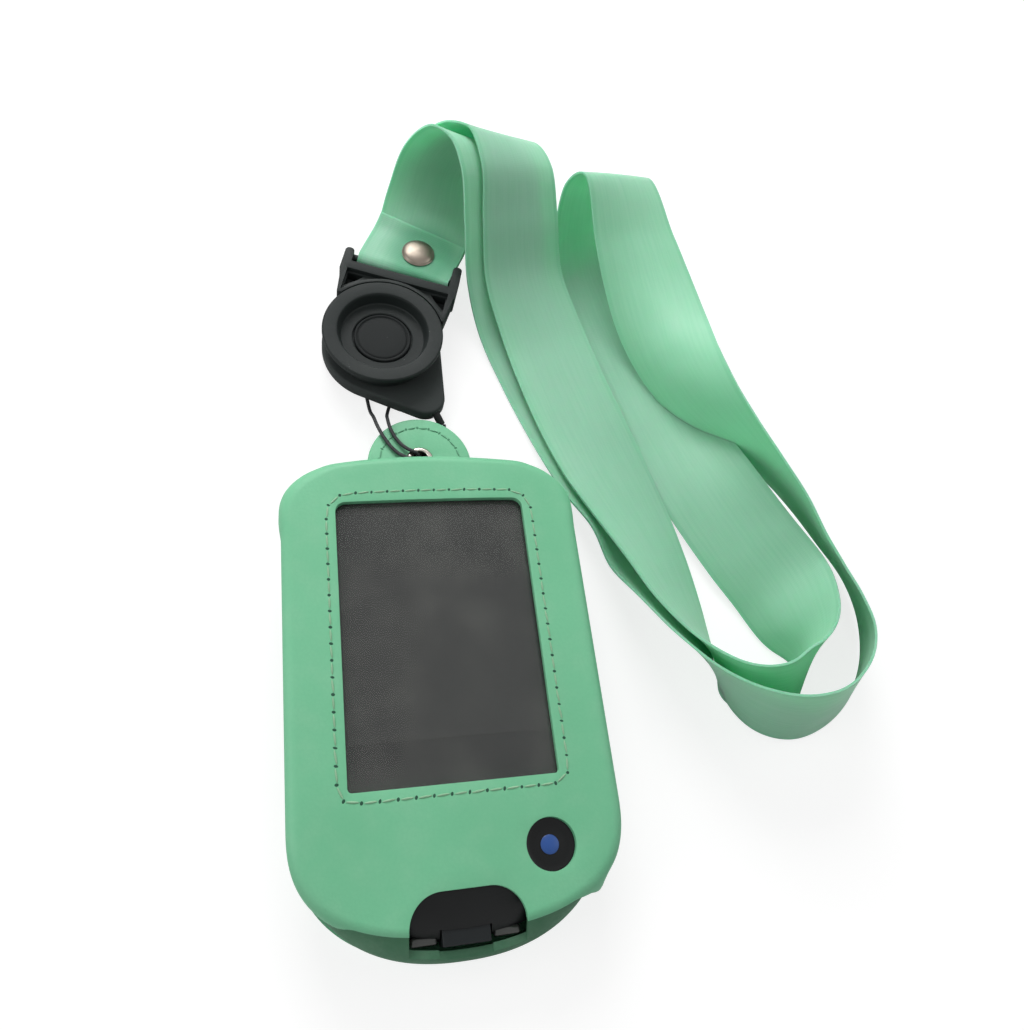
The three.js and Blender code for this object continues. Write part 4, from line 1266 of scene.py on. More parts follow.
@dataclass
class RibbonRoute:
    """The lanyard's way from the rivet round both loops and back to the bar.

    Each station is the middle of the band, with Y counted from the case's mouth, then the way
    its outer edge points. Cupped gives the station where the band is cupped, how many stations
    that reaches, and how deep it is. Flap gives how far along the yoke its layers pass.
    """

    sizes: BuckleSizes
    width: float = 25.0
    thick: float = 0.55
    shift: float = 0.4
    flap_slant: float = 0.17
    layers: tuple[float, float, float] = (8.35, 9.35, 10.35)
    flap: tuple[float, float] = (32.3, 35.7)
    ends: tuple[float, float, float] = (24.9, 23.9, 23.5)
    wrap: float = 1.75
    wrap_steps: int = 5
    cupped: tuple[float, float, float] = (34.1, 2.4, 4.0)
    settle: int = 24
    fine: int = 40
    stations: tuple[tuple[float, ...], ...] = (
        (9, 84.5, 12.4, -0.92, 0.24, 0.3),
        (11.9, 92.9, 17.5, -0.83, 0.05, 0.54),
        (17.1, 95.3, 24, -0.78, -0.2, 0.58),
        (22, 90.7, 28.5, -0.82, -0.36, 0.44),
        (25.2, 83.2, 27.5, -0.87, -0.39, 0.3),
        (27.2, 73.7, 19, -0.92, -0.34, 0.2),
        (28.8, 63.2, 8, -0.94, -0.31, 0.16),
        (32, 51.2, 2, -0.95, -0.31, 0.06),
        (37.2, 34.7, 0.8, -0.95, -0.32, 0),
        (42.4, 18.7, 1, -0.95, -0.315, 0.03),
        (47.6, 2.4, 2.4, -0.935, -0.31, 0.15),
        (52.2, -11.1, 4.6, -0.9, -0.28, 0.33),
        (55, -22.9, 5, -0.93, -0.17, 0.34),
        (57.5, -33.7, 7.6, -0.83, -0.08, 0.56),
        (60.1, -44.5, 10.1, -0.65, -0.07, 0.76),
        (63.8, -53.8, 12.2, -0.42, -0.06, 0.91),
        (69.4, -60.5, 13.2, -0.18, 0.02, 0.98),
        (76.5, -64.5, 13.6, -0.02, 0.13, 0.99),
        (84.4, -65.3, 13.6, 0.01, 0.23, 0.97),
        (92.4, -62.6, 13, -0.08, 0.27, 0.96),
        (99.3, -57.2, 12.5, -0.21, 0.25, 0.95),
        (103.9, -49.6, 12.1, -0.36, 0.17, 0.92),
        (105.3, -40.5, 11.7, -0.49, 0.04, 0.87),
        (104.1, -30.8, 11.3, -0.54, -0.11, 0.84),
        (100.3, -21.1, 11.6, -0.46, -0.23, 0.86),
        (95.9, -11.1, 12.7, -0.35, -0.29, 0.89),
        (90.1, -1.7, 13.9, -0.27, -0.28, 0.92),
        (83.5, 6.9, 14.5, -0.15, -0.14, 0.98),
        (77.6, 15.2, 14.5, 0.04, 0.05, 1),
        (73.5, 24.1, 14, 0.3, 0.18, 0.94),
        (71.2, 33.7, 13, 0.59, 0.17, 0.79),
        (69.8, 44.2, 12.4, 0.84, 0.1, 0.53),
        (68.1, 55.9, 13.7, 0.96, 0.12, 0.24),
        (65.4, 70.1, 17.3, 0.97, 0.24, -0.02),
        (61.4, 87.7, 23, 0.91, 0.28, -0.3),
        (58.4, 90.8, 15.8, 0.92, 0.28, -0.3),
        (57.2, 83.7, 6.5, 0.94, 0.25, -0.22),
        (58, 73.7, 1.8, 0.97, 0.2, -0.06),
        (59.8, 63.7, 0.8, 0.98, 0.19, 0),
        (61.8, 52.2, 0.8, 0.98, 0.2, 0),
        (65.2, 37.7, 0.8, 0.975, 0.22, 0),
        (69.8, 15.8, 3.6, 0.94, 0.25, 0.22),
        (74.9, -5.2, 8, 0.81, 0.26, 0.52),
        (81.3, -21, 9.2, 0.75, 0.31, 0.57),
        (86.7, -32, 9.5, 0.67, 0.33, 0.66),
        (88, -40.5, 11.6, 0.43, 0.25, 0.87),
        (88.8, -47.4, 12.7, 0.06, 0.29, 0.95),
        (87, -53.3, 12.6, -0.22, 0.3, 0.93),
        (82.6, -56.9, 12.4, -0.29, 0.29, 0.91),
        (76.2, -58.1, 12.4, -0.27, 0.28, 0.92),
        (67.6, -55.1, 12.7, -0.3, 0.15, 0.94),
        (63, -47, 11.5, -0.52, -0.04, 0.85),
        (58.8, -34.9, 10.2, -0.73, -0.12, 0.67),
        (55.8, -22.2, 8.5, -0.85, -0.12, 0.51),
        (52.2, -7.5, 5.8, -0.92, -0.2, 0.31),
        (48.8, 5.2, 3.8, -0.955, -0.24, 0.15),
        (45.2, 18.7, 2.9, -0.965, -0.25, 0.06),
        (41.4, 33.7, 2.8, -0.965, -0.26, 0.05),
        (38, 48.7, 3.6, -0.96, -0.27, 0.07),
        (34, 63.9, 8.3, -0.94, -0.32, 0.15),
        (32.3, 74.7, 18.9, -0.92, -0.34, 0.2),
        (30.9, 85.1, 27.4, -0.87, -0.39, 0.3),
        (27.6, 95, 28, -0.82, -0.36, 0.44),
        (21.3, 98.6, 21.8, -0.78, -0.2, 0.58),
        (13.8, 94.9, 14.7, -0.83, 0.05, 0.54),
        (9.5, 85.8, 9.6, -0.92, 0.24, 0.28),
    )

    def aside(self, along: float) -> float:
        """How far the band lies to the right of the yoke's middle."""
        return self.shift + self.flap_slant * max(0.0, along - self.sizes.bar_along)

    def bulge(self, at: float) -> float:
        """How far the band's middle stands out where the outer leg twists."""
        middle, reach, depth = self.cupped
        return depth * math.exp(-(((at - middle) / reach) ** 2))

    def at_buckle(self) -> tuple[list[tuple[float, float]], list[tuple[float, float]]]:
        """The band's way at the buckle, as places along the yoke and heights.

        Returns:
            The way of its first end, then that of its last.
        """
        low, middle, top = self.layers
        low_end, middle_end, top_end = self.ends
        rivet, (bend, out) = self.sizes.rivet_along, self.flap
        first = [(middle_end, middle), (rivet, middle), (bend, middle), (out, middle + 0.85)]
        last = [(out, low), (bend, low), (rivet, low), (low_end, low)]
        for i in range(self.wrap_steps + 1):
            a = -math.pi * (0.5 + i / self.wrap_steps)
            along = self.sizes.bar_along + self.wrap * math.cos(a)
            last.append((along, self.sizes.bar_up + self.wrap * math.sin(a)))
        return first, [*last, (top_end, top), (rivet, top), (bend, top), (out, top + 1)]

    def all_stations(self) -> tuple[list[Vector], list[Vector]]:
        """Every station, those at the buckle included.

        Returns:
            Their middles, and the ways their edges point.
        """
        first, last = (
            [self.sizes.on_yoke(self.aside(along), along, up) for along, up in part]
            for part in self.at_buckle()
        )
        edge = -self.sizes.yoke_side
        middles = [*first, *[Vector((x, y + MOUTH, z)) for x, y, z, *_ in self.stations], *last]
        turned = [Vector(station[3:]).normalized() for station in self.stations]
        return middles, [edge] * len(first) + turned + [edge] * len(last)

    def frames(self, step: float) -> list[tuple[Vector, Vector, Vector]]:
        """The band in even steps.

        Args:
            step: About how far apart, in millimetres.

        Returns:
            For each step the middle, half the width as an arrow to the edge, and how far and
            which way the middle bulges.
        """
        middles, edges = self.all_stations()
        line = fine_line(middles, self.fine)
        made = []
        for k, share in walk(line, round(run_of(line) / step)):
            at = min(k / self.fine + share / self.fine, len(middles) - 1)
            way = (line[min(k + 2, len(line) - 1)] - line[max(k - 1, 0)]).normalized()
            edge = rounded_blend(edges, at)
            edge = (edge - way * edge.dot(way)).normalized()
            out = edge.cross(way) * self.bulge(at)
            made.append([line[k].lerp(line[k + 1], share), edge, out])
        for _ in range(self.settle):
            ways = [m[1] for m in made]
            for i in range(1, len(made) - 1):
                made[i][1] = ways[i - 1] * 0.25 + ways[i] * 0.5 + ways[i + 1] * 0.25
        for m in made:
            chord = 1 - 8 / 3 * (m[2].length / self.width) ** 2
            m[1] = m[1].normalized() * (self.width / 2 * chord)
        return [tuple(m) for m in made]


@dataclass
class StringRoute:
    """The string's way from its sleeve through the eyelet, under the plate and back.

    Each station is the middle of the string, with Y counted from the case's mouth.
    """

    sizes: BuckleSizes
    radius: float = 0.45
    spread: float = 0.65
    sleeve_reach: float = 2.9
    sleeve_up: float = 1.3
    stations: tuple[tuple[float, float, float], ...] = (
        (6.7, 16.2, 0.75),
        (4.4, 12.6, 0.75),
        (2.2, 9.9, 0.75),
        (0.9, 8.8, 1.2),
        (0.5, 8.4, 2.8),
        (0.3, 8.5, 4.6),
        (-0.7, 9, 5.75),
        (-2.5, 10.1, 5.5),
        (-4.2, 12, 5.15),
        (-5.6, 14.3, 5.2),
        (-6.5, 16.9, 5.3),
        (-6.8, 19.5, 4.6),
        (-6.6, 21.7, 2.2),
        (-6.2, 23.7, 0.6),
        (-5.4, 26.5, 0.55),
        (-5, 30.2, 0.55),
        (-5.8, 34.7, 0.55),
        (-8.2, 37, 0.55),
        (-10.8, 34.9, 0.55),
        (-11.4, 30.2, 0.55),
        (-11, 25.7, 0.7),
        (-10.7, 22.7, 2.2),
        (-10.2, 19.9, 4.4),
        (-9.4, 16.7, 5.2),
        (-8, 13.5, 5.2),
        (-6.4, 10.9, 5.1),
        (-4.6, 8.9, 5.2),
        (-2.8, 7.6, 5.6),
        (-1, 7, 5.75),
        (0.3, 7, 4.6),
        (0.6, 6.9, 2.8),
        (1.2, 7.1, 1.2),
        (3, 8.3, 0.75),
        (5.5, 11.6, 0.75),
        (7.9, 15.5, 0.75),
    )

    def line(self, fine: int = 12) -> list[Vector]:
        """The string's middle.

        Args:
            fine: Steps between two stations.

        Returns:
            Its points.
        """
        way = (self.sizes.tail - self.sizes.centre).normalized()
        end = self.sizes.tail + way * (self.sizes.tail_radius + self.sleeve_reach)
        side = Vector((-way.y, way.x, 0)) * self.spread
        up = Vector((0, 0, self.sleeve_up))
        middles = [Vector((x, y + MOUTH, z)) for x, y, z in self.stations]
        return fine_line([end - side + up, *middles, end + side + up], fine)


# ---------------------------------------------------------------- studio


class Background(Enum):
    """What rays that don't light the object see."""

    WHITE = (1.0, 1.0, 1.0, 1.0)


@dataclass
class Studio:
    """Camera, floor and lamps."""

    focus: float = 30.386
    eye: Vector = field(default_factory=lambda: Vector((-0.02631, -0.04249, 0.19461)))
    right: Vector = field(default_factory=lambda: Vector((0.974, -0.122, 0.193)))
    up: Vector = field(default_factory=lambda: Vector((0.030, 0.908, 0.420)))
    ambient: float = 0.26
    lamps: tuple[tuple, ...] = (
        ("key", (-0.05, 0.5, 0.36), (0.03, 0.03, 0), 0.3, 2.3),
        ("fill", (0.5, 0.1, 0.4), (0.03, 0.05, 0), 0.35, 0.5),
        ("side", (-0.45, 0.02, 0.3), (0.09, 0.06, 0), 0.35, 0.8),
    )

    def camera(self) -> None:
        """Sets up the camera at the photograph's angle."""
        data = bpy.data.cameras.new("camera")
        data.sensor_fit = "HORIZONTAL"
        data.sensor_width = 36
        data.lens = self.focus
        data.clip_start = 0.005
        eye = bpy.data.objects.new("camera", data)
        right = self.right.normalized()
        back = right.cross(self.up).normalized()
        turned = Matrix((right, back.cross(right), back)).transposed().to_4x4()
        eye.matrix_world = Matrix.Translation(self.eye) @ turned
        bpy.context.scene.collection.objects.link(eye)
        bpy.context.scene.camera = eye

    def floor(self) -> None:
        """Lays the pale floor, which keeps the shadow."""
        desk = Desk.material("floor_white")
        path = desk.node("ShaderNodeLightPath", output="Is Camera Ray")
        plain = desk.node("ShaderNodeBsdfDiffuse", None, {0: (0.9, 0.9, 0.9, 1), 1: 0.5})
        lit = desk.node("ShaderNodeEmission", None, {0: Background.WHITE.value, 1: 1.3})
        desk.end(desk.node("ShaderNodeMixShader", None, {0: path * 0.6, 1: plain, 2: lit}))
        bm = bmesh.new()
        bmesh.ops.create_grid(bm, x_segments=1, y_segments=1, size=3.0)
        mesh = bpy.data.meshes.new("floor")
        bm.to_mesh(mesh)
        bm.free()
        mesh.materials.append(desk.owner)
        floor = bpy.data.objects.new("floor", mesh)
        bpy.context.scene.collection.objects.link(floor)

    def world(self) -> None:
        """Sets an even sky that shows white behind and in reflections."""
        world = bpy.data.worlds.new("studio")
        bpy.context.scene.world = world
        desk = Desk(world)
        seen = desk.node("ShaderNodeLightPath", output="Is Camera Ray")
        for ray in ("Is Glossy Ray", "Is Transmission Ray"):
            seen = desk.math("MAXIMUM", seen, desk.node("ShaderNodeLightPath", output=ray))
        dim, white = (
            desk.node("ShaderNodeBackground", None, {0: Background.WHITE.value, 1: power})
            for power in (self.ambient, 1.0)
        )
        mixed = desk.node("ShaderNodeMixShader", None, {0: seen, 1: dim, 2: white})
        desk.end(mixed, "ShaderNodeOutputWorld")

    def lamp(
        self, name: str, place: Sequence[float], aim: Sequence[float], size: float, power: float
    ) -> None:
        """Hangs one soft box.

        Args:
            name: Its name.
            place: Where it hangs, in metres.
            aim: What it points at.
            size: Its side.
            power: Its power in watts.
        """
        data = bpy.data.lights.new(name, "AREA")
        data.shape = "SQUARE"
        data.size = size
        data.energy = power
        lamp = bpy.data.objects.new(name, data)
        lamp.location = place
        lamp.rotation_mode = "QUATERNION"
        lamp.rotation_quaternion = (Vector(aim) - Vector(place)).to_track_quat("-Z", "Y")
        bpy.context.scene.collection.objects.link(lamp)

    def build(self) -> None:
        """Builds the whole studio."""
        bpy.context.scene.view_settings.view_transform = "Standard"
        self.camera()
        self.floor()
        self.world()
        for lamp in self.lamps:
            self.lamp(*lamp)
        log.info("studio: ready")


# ---------------------------------------------------------------- lanyard


@dataclass
class Lanyard:
    """The ribbon with its rivet."""

    palette: Palette
    sizes: BuckleSizes
    step: float = 0.62
    across: int = 10

    def ribbon(self) -> None:
        route = RibbonRoute(self.sizes)
        frames = route.frames(self.step)
        length = run_of([middle for middle, _, _ in frames])
        work = Workpiece("ribbon_band")

        def place(s: float, t: float) -> Vector:
            """The point of the band at two shares.

            Args:
                s: The share along the band.
                t: The share across it.

            Returns:
                The point.
            """
            middle, edge, bulge = frames[round(s * (len(frames) - 1))]
            return middle + edge * (1 - 2 * t) + bulge * (4 * t * (1 - t) - 0.35)

        work.grid(len(frames) - 1, self.across, place, (length * MM, route.width * MM))
        cloth = {"thickness": route.thick, "offset": 0.0, "use_even_offset": False}
        work.through(("SOLIDIFY", cloth))
        band = work.finished([self.palette.satin], "lanyard", "satin_ribbon", ["lanyard_ribbon"])
        route.width * MM

    def rivet(self) -> None:
        """Makes the domed cap and its washer."""
        place = self.sizes.on_yoke(self.sizes.rivet_aside, self.sizes.rivet_along)
        cap = Workpiece("rivet_dome")
        radius, spring, rise, steps = 4.15, 11.05, 1.0, 12
        dome = [(0.0, spring + rise)]
        for i in range(1, steps + 1):
            a = math.pi / 2 * i / steps
            dome.append((radius * math.sin(a), spring + rise * math.cos(a)))
        profile = [*dome, (4.4, 10.95), (4.35, 10.72), (1.5, 10.72), (1.5, 7.35), (0.0, 7.35)]
        cap.turn(profile, place.x, place.y, 72)
        cap.finished([self.palette.dome], "lanyard", "bright_steel", ["rivet_cap"], 60)
        washer = Workpiece("rivet_back")
        profile = [(1.8, 7.3), (2.8, 7.3), (3.0, 7.45), (3.0, 7.95), (1.8, 7.95), (1.8, 7.3)]
        washer.turn(profile, place.x, place.y, 48)
        washer.finished([self.palette.steel], "lanyard", "bright_steel", ["rivet_washer"])

    def build(self) -> None:
        """Builds the ribbon and its rivet."""
        self.ribbon()
        self.rivet()


@dataclass
class Tether:
    """The string loop and the sleeve on its ends."""

    palette: Palette
    sizes: BuckleSizes

    def build(self) -> None:
        """Builds the string and the sleeve."""
        radius = self.sizes.tail_radius
        stops = [(radius / 2, 3.35), (radius, 2.875), (radius + 2.6, 1.45)]
        sleeve = Workpiece("string_sleeve")
        sleeve.tube(self.sizes.down_tail(stops, 10), 1.0, 24)
        sleeve.break_edges(0.2, 60)
        clip = sleeve.finished([self.palette.sleeve], "tether", "black_cord", ["cord_sleeve"])
        route = StringRoute(self.sizes)
        line = route.line()
        work = Workpiece("string_loop")
        work.tube(line, route.radius)
        string = work.finished([self.palette.cord], "tether", "black_cord", ["tether_string"], 70)
        length = run_of(line)
        line[0] * MM
        route.radius * 2 * MM
        [p * MM for p in line]


# ---------------------------------------------------------------- buckle


@dataclass
class Buckle:
    """The swivel buckle: teardrop plate, stud, yoke, ring and hub cap."""

    palette: Palette
    sizes: BuckleSizes
    yoke_half: float = 15.7
    yoke_top: float = 10.9
    foot: tuple[tuple[float, float], ...] = ((-14.4, 8.6), (14.3, 7.6))
    flank: float = 13.7
    web_end: float = 19.4
    bar_start: float = 16.9
    recess_floor: float = 9.6
    gap: tuple[tuple[float, float], ...] = ((13.4, 11.9), (13.4, 16.3), (9.1, 16.3), (10.6, 14.4))
    post: float = 2.4
    post_overlap: float = 4
    post_ends: tuple[float, float] = (23.7, 26.6)
    bar_radius: float = 1.1
    arc: float = 16.6
    rib: float = 0.9
    rounding: float = 0.2
    bore: float = 2.8
    seat: float = 4.9
    seat_floor: float = 6.1
    clear: float = 40  # past the far side of any piece that is cut

    def plate(self) -> None:
        """The teardrop: the hull of its disc and its tail."""
        s = self.sizes
        work = Workpiece("teardrop_plate")
        work.rod(s.radius, s.plate_low, s.plate_top, s.x, s.y)
        work.rod(s.tail_radius, s.plate_low, s.plate_top, s.tail_x, s.tail_y, 64)
        hull = bmesh.ops.convex_hull(work.bm, input=work.bm.verts[:])
        spare = hull["geom_interior"] + hull["geom_unused"]
        inside = [g for g in spare if isinstance(g, bmesh.types.BMVert)]
        bmesh.ops.delete(work.bm, geom=inside, context="VERTS")
        work.merge_flat(0.5)
        work.outward()
        work.break_edges(0.75, 60, 4)
        clear = s.tail + (s.tail - s.centre).normalized() * s.radius
        step = Workpiece("step")
        step.rod(s.radius + s.tail_radius / 2, -1, s.plate_low + 0.6, clear.x, clear.y)
        socket = Workpiece("socket")
        socket.rod(4.6, s.plate_top - 2.4, s.plate_top + 1, s.x, s.y)
        bore = Workpiece("bore")
        stops = [(s.tail_radius / 2 - 0.3, 3.35), (s.tail_radius, 2.875), (s.tail_radius + 3, 1.3)]
        bore.tube(s.down_tail(stops, 6), 1.3, 24)
        work.cut(step, socket, bore)
        work.finished([self.palette.plate], "tether", "buckle_plastic", ["swivel_plate"], 30)

    def stud(self) -> None:
        """The snap stud that the plate turns on."""
        s = self.sizes
        work = Workpiece("snap_stud")
        profile = [(0, 2.9), (4.0, 2.9), (4.3, 3.2), (4.3, 4.7), (4.0, 5.0), (2.5, 5.0)]
        profile += [(2.5, 6.1), (4.6, 6.1), (4.6, 6.45), (4.4, 6.6), (0, 6.6)]
        work.turn(profile, s.x, s.y)
        work.finished([self.palette.buckle], "swivel_stud", "buckle_plastic", ["swivel_stud"], 30)

    def yoke_web(self) -> Workpiece:
        """The web between the base disc and the bar, with its two posts.

        Returns:
            The piece, with the yoke's axis upright through the origin.
        """
        s = self.sizes
        work = Workpiece("yoke_frame")
        corners = [*self.foot, (self.yoke_half, self.web_end), (-self.yoke_half, self.web_end)]
        work.prism([Vector((x, y, 0)) for x, y in corners], s.base_low, self.yoke_top)
        posts = []
        for x, end in zip((-self.yoke_half, self.yoke_half - self.post), self.post_ends):
            post = Workpiece("post")
            start = self.web_end - self.post_overlap
            outline = rounded_rectangle(x, x + self.post, start, end, self.post / 2 - 0.1)
            post.prism(outline, s.base_low, self.yoke_top)
            posts.append(post)
        work.cut(*posts, operation="UNION")
        return work

    def yoke_hollows(self) -> list[Workpiece]:
        """What is cut from the web: the ring's hollow, the recess and the triangles.

        Returns:
            The tools.
        """
        s, far = self.sizes, self.clear
        hollow = Workpiece("hollow")
        hollow.rod(self.arc - self.rib, s.base_top, 30, 0, 0, 128)
        recess = Workpiece("recess")
        low, top = self.recess_floor, 30
        corners = [(self.arc, low), (far, low), (far, top), (self.arc, top), (self.arc, low)]
        recess.turn(corners, 0, 0, 128)
        frame_bar = Workpiece("frame_bar")
        frame_bar.block((-far, self.bar_start, -1), (far, 60, far))
        sides = [Workpiece("side") for _ in range(2)]
        for side, sign in zip(sides, (1, -1)):
            left, right = sorted((sign * self.flank, sign * far))
            side.block((left, -far, -1), (right, 60, far))
        recess.cut(frame_bar, *sides)
        tools = [hollow, recess]
        for sign in (1, -1):
            gap = Workpiece("gap")
            outline = [Vector((sign * x, y, 0)) for x, y in self.gap]
            gap.prism(outline[::sign], s.base_top, 30)
            tools.append(gap)
        return tools

    def yoke(self) -> None:
        """The frame: base disc, braced web, two posts and the ribbon's bar."""
        s = self.sizes
        work = self.yoke_web()
        work.cut(*self.yoke_hollows())
        work.break_edges(self.rounding, 40, 2)
        disc = Workpiece("disc")
        disc.rod(s.radius - 2.0, s.base_low, s.base_top, 0, 0)
        disc.break_edges(0.25, 60, 3)
        bar = Workpiece("bar")
        lay = Matrix.Translation((0, s.bar_along, s.bar_up)) @ Matrix.Rotation(TURN / 4, 4, "Y")
        bar.bar(self.bar_radius, self.yoke_half * 2 - self.post, lay, 40)
        work.cut(disc, bar, operation="UNION")
        bore = Workpiece("bore")
        bore.rod(self.bore, 0, 30, 0, 0, 64)
        seat = Workpiece("seat")
        seat.rod(self.seat, self.seat_floor, 30, 0, 0, 64)
        work.cut(bore, seat)
        spin = Matrix.Rotation(math.radians(s.turned - 90), 4, "Z")
        turn = Matrix.Translation(s.centre) @ spin
        bmesh.ops.transform(work.bm, matrix=turn, verts=work.bm.verts[:])
        work.finished([self.palette.buckle], "lanyard", "buckle_plastic", ["yoke"], 30)

    def ring(self) -> None:
        """The round cup with its thick lip."""
        s = self.sizes
        low, top = s.base_top, s.ring_top
        work = Workpiece("ring_cup")
        wall, lip = s.radius - 1.6, top - 1.5
        profile = [(7.7, low), (wall - 0.2, low), (wall, low + 0.2), (wall, lip - 0.3)]
        profile += [(s.radius - 0.5, lip), (s.radius, lip + 0.4), (s.radius, top - 0.5)]
        profile += [(s.radius - 0.12, top - 0.2), (s.radius - 0.4, top), (12.2, top)]
        profile += [(11.8, top - 0.1), (11.55, top - 0.38), (11.4, top - 0.8), (10.85, low + 1.1)]
        profile += [(10.6, low + 0.86), (10.2, low + 0.8), (7.95, low + 0.8), (7.7, low + 0.6)]
        work.turn([*profile, (7.7, low)], s.x, s.y, 128)
        work.finished([self.palette.buckle], "lanyard", "buckle_plastic", ["buckle_ring"], 30)

    def hub(self) -> None:
        """The cap in the cup, with a shallow turned groove."""
        s = self.sizes
        low = s.base_top
        work = Workpiece("hub_disc")
        profile = [(0, low), (7.4, low), (7.4, low + 0.62), (7.25, low + 0.86), (7.0, low + 0.95)]
        profile += [(6.75, low + 0.9), (6.6, low + 0.66), (6.45, low + 0.64), (6.3, low + 0.82)]
        profile += [(5.9, low + 0.88), (3.0, low + 0.93), (0, low + 0.95)]
        work.turn(profile, s.x, s.y, 128)
        work.finished([self.palette.hub], "lanyard", "buckle_plastic", ["hub_cap"], 50)

    def build(self) -> None:
        """Builds the whole buckle."""
        self.plate()
        self.stud()
        self.yoke()
        self.ring()
        self.hub()


# ---------------------------------------------------------------- case


@dataclass
class CaseSizes:
    """The leather case's sizes."""

    half_width: float = 32.9
    mouth: float = MOUTH
    belly: float = -52.35
    lip: float = -47.95
    foot_start: float = -25.35
    height: float = 19.0
    corner: float = 12.0
    shoulder: float = 2.4
    panel: float = 1.4
    gusset: float = 1.2
    back: float = 1.5
    skirt: float = 13.0
    mouth_low: float = 16.4
    lip_low: float = 18.3
    wall_end: float = 34.35
    window: tuple[float, float, float, float] = (-21.15, 21.15, -20.4, 41.7)
    window_corners: tuple[float, float] = (2.2, 0.9)
    seam_corners: tuple[float, float] = (4.9, 3.1)
    hole: tuple[float, float, float] = (*BUTTON, 5.05)
    notch: tuple[float, float, float] = (11.2, -39.65, 6.5)
    port_low: tuple[float, float] = (12.2, 11.9)
    port_across: tuple[tuple[float, float], tuple[float, float]] = ((-11.0, 11.9), (-5.2, 5.2))
    tab: tuple[float, float, float] = (0.6, 58.75, 13.0)
    eye: tuple[float, float] = (0.6, 59.95)
    eye_radius: float = 2.6
    tab_lift: float = 1.9
    tab_thick: float = 1.1
    lip_rise: tuple[float, float] = (-40.6, -45.0)
    mouth_dip: float = 1.2
    flares: tuple[float, float] = (0.55, 0.4)
    flare_across: tuple[float, float] = (24, 31)
    flare_end: tuple[float, float] = (45, 51)
    kick_at: tuple[float, float] = (26.4, -42)
    kick_size: tuple[float, float] = (2.2, 1.8)
    bow: tuple[float, float, float] = (2.0, 25, 0.6)
    bow_start: float = 38
    wave: tuple[float, float] = (0.07, 0.22)
    widening: float = 0.55
    power: float = 2.65
    back_power: float = 2.3


